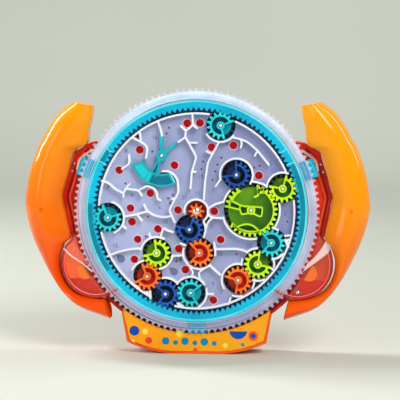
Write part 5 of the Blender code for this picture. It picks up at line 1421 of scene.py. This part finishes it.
def handle_half(side, face):
    """A half shell and its two ends: side -1 left or 1 right, face -1 front or 1 back.

    An end is closed by the last section drawn in to its middle, in steps.
    """
    rows = []
    for outer, ridge, inner, share in HANDLE_ROWS:
        spots = on_board((outer, ridge, inner))
        rows.append([number for spot in spots for number in spot] + [share])
    drawn = along_curve(rows, 5)
    sections = [np.array(section(row)) for row in drawn]
    grids = [sections]
    for end in (sections[0], sections[-1]):
        middle = end.mean(axis=0)
        middle[1] = HANDLE_SEAM
        grids.append([middle + (end - middle) * grow for grow in (1.0, 0.9, 0.7, 0.35, 0.0)])
    shapes = []
    for number, grid in enumerate(grids):
        points = np.array(grid)
        points[:, :, 0] *= -side
        points[:, :, 1] *= face
        shapes.append((sheet_of(points, closed_across=True), number // 2))
    return shapes


for side, word in ((-1, "left"), (1, "right")):
    for face, half in ((-1, "front"), (1, "back")):
        shell = piece(f"{word}_handle_{half}_look", handle_half(side, face), [HANDLE, HANDLE_END],
                      HANDLE_SMOOTH)
        if face < 0:
            x, z = from_photo(HANDLE_DIMPLE_PX, BOARD_SCALE)
            dimple = slab([circle(1.1 * MM, 24, (-side * x, z))], -17.0 * MM, -13.9 * MM)
            cut(shell, [dimple], HANDLE_SMOOTH)
        else:
            screw_wells = []
            for at in HANDLE_SCREWS_PX:
                x, z = from_photo(at, BOARD_SCALE)
                screw_wells.append(slab([circle(2.5 * MM, 32, (-side * x, z))], 7.5 * MM, 18.0 * MM))
            cut(shell, screw_wells, HANDLE_SMOOTH)
        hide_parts(f"{word}_handle_{half}")
        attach(shell, "frame")

# %% [markdown]
# ## The swinging lever, the sun pinion and the small steel parts
# The lever hangs on a pin of the maze plate.  Two arms point up and two struts carry a weight, a part of a
# ring with raised edges, a sloped face on the left and a hollow on the right.  Angles are counted about
# the pin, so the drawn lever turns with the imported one.

# %% Lever
pivot = from_photo(LEVER_PIVOT_PX)
lever_back = FLOOR - 0.4 * MM
HOLLOW_OUTER, HOLLOW_INNER = 16.9 * MM, 12.0 * MM
weight = arc(17.9 * MM, 197, 297, 3, pivot) + arc(10.9 * MM, 297, 197, 4, pivot)
weight_hollow = arc(HOLLOW_OUTER, 244, 292, 3, pivot) + arc(HOLLOW_INNER, 290, 245, 4, pivot)
ramp_path = arc(HOLLOW_OUTER, 201, 232, 3, pivot) + arc(HOLLOW_INNER, 232, 201, 4, pivot)
hub_line = [polar(3.5 * MM, angle) for angle in (20, 65, 120, 175, 235, 285, 330)]
lever_shapes = [
    (slab([rounded(weight, 0.5 * MM, closed=True, steps=2)],
          GEAR_FRONT + 0.5 * MM, lever_back, 0.25 * MM), 0),
    (slab([rounded(weight_hollow, 0.5 * MM, closed=True, steps=2)],
          GEAR_FRONT + 0.42 * MM, GEAR_FRONT + 0.9 * MM, 0.05 * MM), 1),
    (slab([rounded(ramp_path, 0.5 * MM, closed=True, steps=2)],
          GEAR_FRONT + 0.3 * MM, GEAR_FRONT + 0.8 * MM, 0.15 * MM), 2),
    (wall(arc(17.55 * MM, 197, 297, 3, pivot), lever_back, GEAR_FRONT, 0.7 * MM, 0.15 * MM), 0),
    (wall(arc(11.25 * MM, 297, 197, 4, pivot), lever_back, GEAR_FRONT, 0.7 * MM, 0.15 * MM), 0),
    (wall([polar(11.3 * MM, 296, pivot), polar(17.5 * MM, 296, pivot)],
          lever_back, GEAR_FRONT, 0.9 * MM, 0.2 * MM), 3),
    (wall([polar(11.3 * MM, 237, pivot), polar(17.4 * MM, 239, pivot)],
          lever_back, GEAR_FRONT, 1.6 * MM, 0.3 * MM), 2),
    (slab([moved(rounded(hub_line, 0.8 * MM, closed=True), pivot), circle(BORE_RADIUS, 28, pivot)],
          GEAR_FRONT, lever_back, 0.25 * MM), 0),
]
# Angle in degrees, reach and width in millimetres of the two arms and the two struts.
LEVER_ARMS = [(91, 10.6, 1.9), (41, 10.6, 1.7), (238, 12.3, 1.1), (254, 12.3, 1.1)]
for angle, reach, width in LEVER_ARMS:
    path = [polar(1.8 * MM, angle, pivot), polar(reach * MM, angle, pivot)]
    lever_shapes.append((wall(path, lever_back, GEAR_FRONT + 0.1 * MM, width * MM, 0.3 * MM), 0))
strut = [polar(2.6 * MM, 246, pivot), polar(11.6 * MM, 240, pivot), polar(11.6 * MM, 252, pivot)]
lever_shapes.append((slab([strut], GEAR_FRONT + 1.4 * MM, lever_back, 0.05 * MM), 1))
# The lever's hollow and the web between its struts are painted in shade, its sloped face and one rib are
# painted lit, and the rib at the weight's right end carries a painted highlight.
lever_look = piece("swing_lever_look", lever_shapes, [
    plastic("teal moulded ABS, lever", "#14C4D0", "#04AEBE", 0.3),
    plastic("teal moulded ABS, lever recess in painted shade", "#007C9A", "#006884", 0.3),
    plastic("teal moulded ABS, lever ramp, painted lit", "#2ADCE6", "#14C8D6", 0.28),
    CYAN_HIGHLIGHT,
])
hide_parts("swing_lever")
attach(lever_look, "lever")

# %% [markdown]
# ### Sun pinion and centre pin
# Eight orange teeth stand fixed on the axle, and the gears by them roll round.  The angle of the teeth is
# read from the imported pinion.  A turned steel pin with a domed head holds the wheel.

# %% Sun pinion and centre pin
SUN_ROOT, SUN_SHOULDER, SUN_TIP = 2.75 * MM, 4.3 * MM, 4.59 * MM
sun_points = corners_of("sun_pinion")
sun_reach = np.hypot(sun_points[:, 0], sun_points[:, 2]).max()
sun_tips = sun_points[np.hypot(sun_points[:, 0], sun_points[:, 2]) > sun_reach - 0.05 * MM]
sun_angle = float(np.degrees(np.arctan2(sun_tips[0, 2], sun_tips[0, 0])))
sun_phase = round(sun_angle / 45) * 45
print(f"sun pinion: first tooth at {sun_phase} degrees")
sun_line = []
for k in range(8):
    at = sun_phase + k * 45
    flank = [(SUN_ROOT, 0.62 * MM), (SUN_SHOULDER, 0.42 * MM), (SUN_TIP, 0.24 * MM)]
    sun_line += [beside(radius, at, -half) for radius, half in flank]
    sun_line += [beside(radius, at, half) for radius, half in reversed(flank)]
sun_disc = slab([sun_line, circle(1.5 * MM, 28)], -6.2 * MM, GEAR_BACK, 0.16 * MM)
sun_look = piece("sun_pinion_look", [(sun_disc, 0)], [ORANGE_SET["raised"]])
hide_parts("sun_pinion")
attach(sun_look, "frame")

pin_profile = [
    (0.0, -7.3 * MM), (0.7 * MM, -7.28 * MM), (1.3 * MM, -7.15 * MM), (1.75 * MM, -6.85 * MM),
    (1.9 * MM, -6.5 * MM), (1.2 * MM, -6.5 * MM), (1.2 * MM, 8.7 * MM), (0.0, 8.7 * MM)]
centre_head = piece("centre_pin_look", [(turned(pin_profile, 40, closed=False), 0)], [STEEL])
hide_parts("centre_pin")
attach(centre_head, "frame")

# %% [markdown]
# ### Screws and ball
# Each screw is turned about its own axis, and a Boolean cuts two crossed bars out of its pan head.  Its
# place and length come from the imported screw.  The ball is a turned sphere.  Steel shows what stands round
# it, so its colour is a cool grey and it is smooth.

# %% Screws and ball


def ribbon_of(path, width):
    """The rectangle of a width about a line of two points."""
    (x0, z0), (x1, z1) = path
    half = width / 2 / math.dist((x0, z0), (x1, z1))
    across, up = -(z1 - z0) * half, (x1 - x0) * half
    return [(x0 + across, z0 + up), (x0 - across, z0 - up), (x1 - across, z1 - up), (x1 + across, z1 + up)]


def screw_look(node_name):
    """A pan head with a cross recess in place of a faceted screw."""
    low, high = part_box(node_name)
    at = ((low[0] + high[0]) / 2, (low[2] + high[2]) / 2 - AXLE_Z)
    back, tip = high[1], low[1]
    seat = back - 1.5 * MM
    profile = [(0.0, tip), (0.9 * MM, tip + 1.0 * MM), (1.0 * MM, tip + 1.3 * MM), (1.0 * MM, seat),
               (2.2 * MM, seat), (2.2 * MM, seat + 0.7 * MM), (1.9 * MM, back - 0.35 * MM),
               (1.2 * MM, back - 0.06 * MM), (0.0, back)]
    made = piece(node_name + "_look", [(turned(profile, 32, at, closed=False), 0)], [STEEL])
    arms = []
    for turn in (45, 135):
        path = [polar(1.15 * MM, turn, at), polar(1.15 * MM, turn + 180, at)]
        arms.append(slab([ribbon_of(path, 0.45 * MM)], back - 0.8 * MM, back + 0.5 * MM))
    cut(made, arms)
    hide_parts(node_name)
    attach(made, "frame")


for name in sorted(NODES):
    if "screw" in name:
        screw_look(name)

ball_centre = centre_of("steel_ball")
ball_y = (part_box("steel_ball")[0][1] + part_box("steel_ball")[1][1]) / 2
ball_line = []
for angle in range(0, 181, 9):
    lean = math.radians(angle)
    ball_line.append((BALL_RADIUS * math.sin(lean), ball_y - BALL_RADIUS * math.cos(lean)))
ball = piece("steel_ball_look", [(turned(ball_line, 40, ball_centre, closed=False), 0)], [STEEL], 60.0)
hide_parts("steel_ball")
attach(ball, "ball")

# %% [markdown]
# ## Floor, light and camera
# A pale board curves up behind the toy, as in a photo studio: flat, then a quarter of a circle, then
# upright.  Far behind, it looks brighter to the camera, in mirrors and through clear plastic, so it is
# pale without any more light on the toy.

# %% Stage
FLOOR_BEND, FLOOR_BEND_FROM = 0.5, 1.3
floor_line = [(-1.6, 0.0), (-0.8, 0.0), (0.2, 0.0), (FLOOR_BEND_FROM, 0.0)]
for angle in range(10, 91, 10):
    lean = math.radians(angle)
    floor_line.append((FLOOR_BEND_FROM + FLOOR_BEND * math.sin(lean),
                       FLOOR_BEND - FLOOR_BEND * math.cos(lean)))
floor_line += [(1.8, 2.6)]
floor_rows = [[(x, y, z) for y, z in floor_line] for x in (-2.5, -1.0, 0.0, 1.0, 2.5)]
pale = plastic("matt painted board, floor", "#D6D9CE", "#CED2C6", 0.7, 2.0, 0.02, Specular_IOR_Level=0.1)
# The brightness grows from 0 at GLOW_FROM metres behind the toy to BACKDROP_GLOW at GLOW_TO.
BACKDROP_GLOW, GLOW_FROM, GLOW_TO = 0.38, 0.25, 1.6
tree = pale.node_tree
seen = add(tree, "ShaderNodeLightPath", {}).outputs
direct = add(tree, "ShaderNodeMath", {0: seen["Is Camera Ray"], 1: seen["Is Glossy Ray"]},
             operation="MAXIMUM")
any_view = add(tree, "ShaderNodeMath", {0: direct.outputs["Value"], 1: seen["Is Transmission Ray"]},
               operation="MAXIMUM")
spot = add(tree, "ShaderNodeTexCoord", {}).outputs["Object"]
depth = add(tree, "ShaderNodeSeparateXYZ", {"Vector": spot})
glow = add(tree, "ShaderNodeMapRange", {
    "Value": depth.outputs["Y"], "From Min": GLOW_FROM, "From Max": GLOW_TO, "To Max": BACKDROP_GLOW})
strength = add(tree, "ShaderNodeMath", {0: glow.outputs["Result"], 1: any_view.outputs["Value"]},
               operation="MULTIPLY")
pale_body = tree.nodes["Principled BSDF"]
pale_body.inputs["Emission Color"].default_value = screen_colour("#DADED2")
tree.links.new(strength.outputs["Value"], pale_body.inputs["Emission Strength"])
floor = piece("floor", [(sheet_of(floor_rows), 0)], [pale], lift=False)

# %% [markdown]
# The light is a large soft key from the front right, above.  A tall strip behind on each side draws the
# long highlights on the handles, and a weak fill lifts the left side.  A dim cool room light fills in.

# %% Light
world = bpy.data.worlds.new("soft studio")
bpy.context.scene.world = world
world.use_nodes = True
world.node_tree.nodes["Background"].inputs["Color"].default_value = (0.93, 0.96, 1.0, 1.0)
world.node_tree.nodes["Background"].inputs["Strength"].default_value = 0.26


def lamp(name, place, target, size, power, colour=(1.0, 1.0, 1.0)):
    """A rectangular lamp of a size in metres and a power in watts, turned from its place to a target."""
    data = bpy.data.lights.new(name, "AREA")
    data.shape = "RECTANGLE"
    data.size, data.size_y = size
    data.energy = power
    data.color = colour
    made = bpy.data.objects.new(name, data)
    bpy.context.scene.collection.objects.link(made)
    made.location = place
    made.rotation_euler = (Vector(target) - Vector(place)).to_track_quat("-Z", "Y").to_euler()
    print(f"{name}: {power} W at {place}")


lamp("key light", (0.5, -0.85, 0.85), (0.0, 0.0, 0.08), (0.5, 0.5), 10.0, (1.0, 0.98, 0.95))
lamp("left strip", (-0.78, 0.28, 0.72), (-0.08, 0.0, 0.1), (0.14, 1.0), 10.0)
lamp("right strip", (0.8, 0.25, 0.7), (0.08, 0.0, 0.1), (0.05, 0.9), 2.5)
lamp("left fill", (-0.85, -0.75, 0.35), (0.0, 0.0, 0.08), (0.5, 0.6), 3.0, (0.95, 0.97, 1.0))

# %% [markdown]
# The photo shows the toy nearly straight from the front, so a long lens looks on from 0.9 m away, turned
# 4 degrees to the right and 5 degrees up.

# %% Camera
target = Vector((1.75 * MM, 0.0, 89.8 * MM))
side_turn, up_turn, distance = math.radians(4.0), math.radians(5.0), 0.9
way = Vector((math.sin(side_turn) * math.cos(up_turn), -math.cos(side_turn) * math.cos(up_turn),
              math.sin(up_turn)))
camera = bpy.data.objects.new("camera", bpy.data.cameras.new("camera"))
bpy.context.scene.collection.objects.link(camera)
camera.location = target + way * distance
camera.rotation_euler = (-way).to_track_quat("-Z", "Y").to_euler()
camera.data.lens = 139.0
camera.data.sensor_width = 36.0
camera.data.clip_start = 0.05
bpy.context.scene.camera = camera
print("camera at", tuple(round(number, 3) for number in camera.location), "lens", camera.data.lens)
bpy.context.scene.view_settings.view_transform = "Standard"
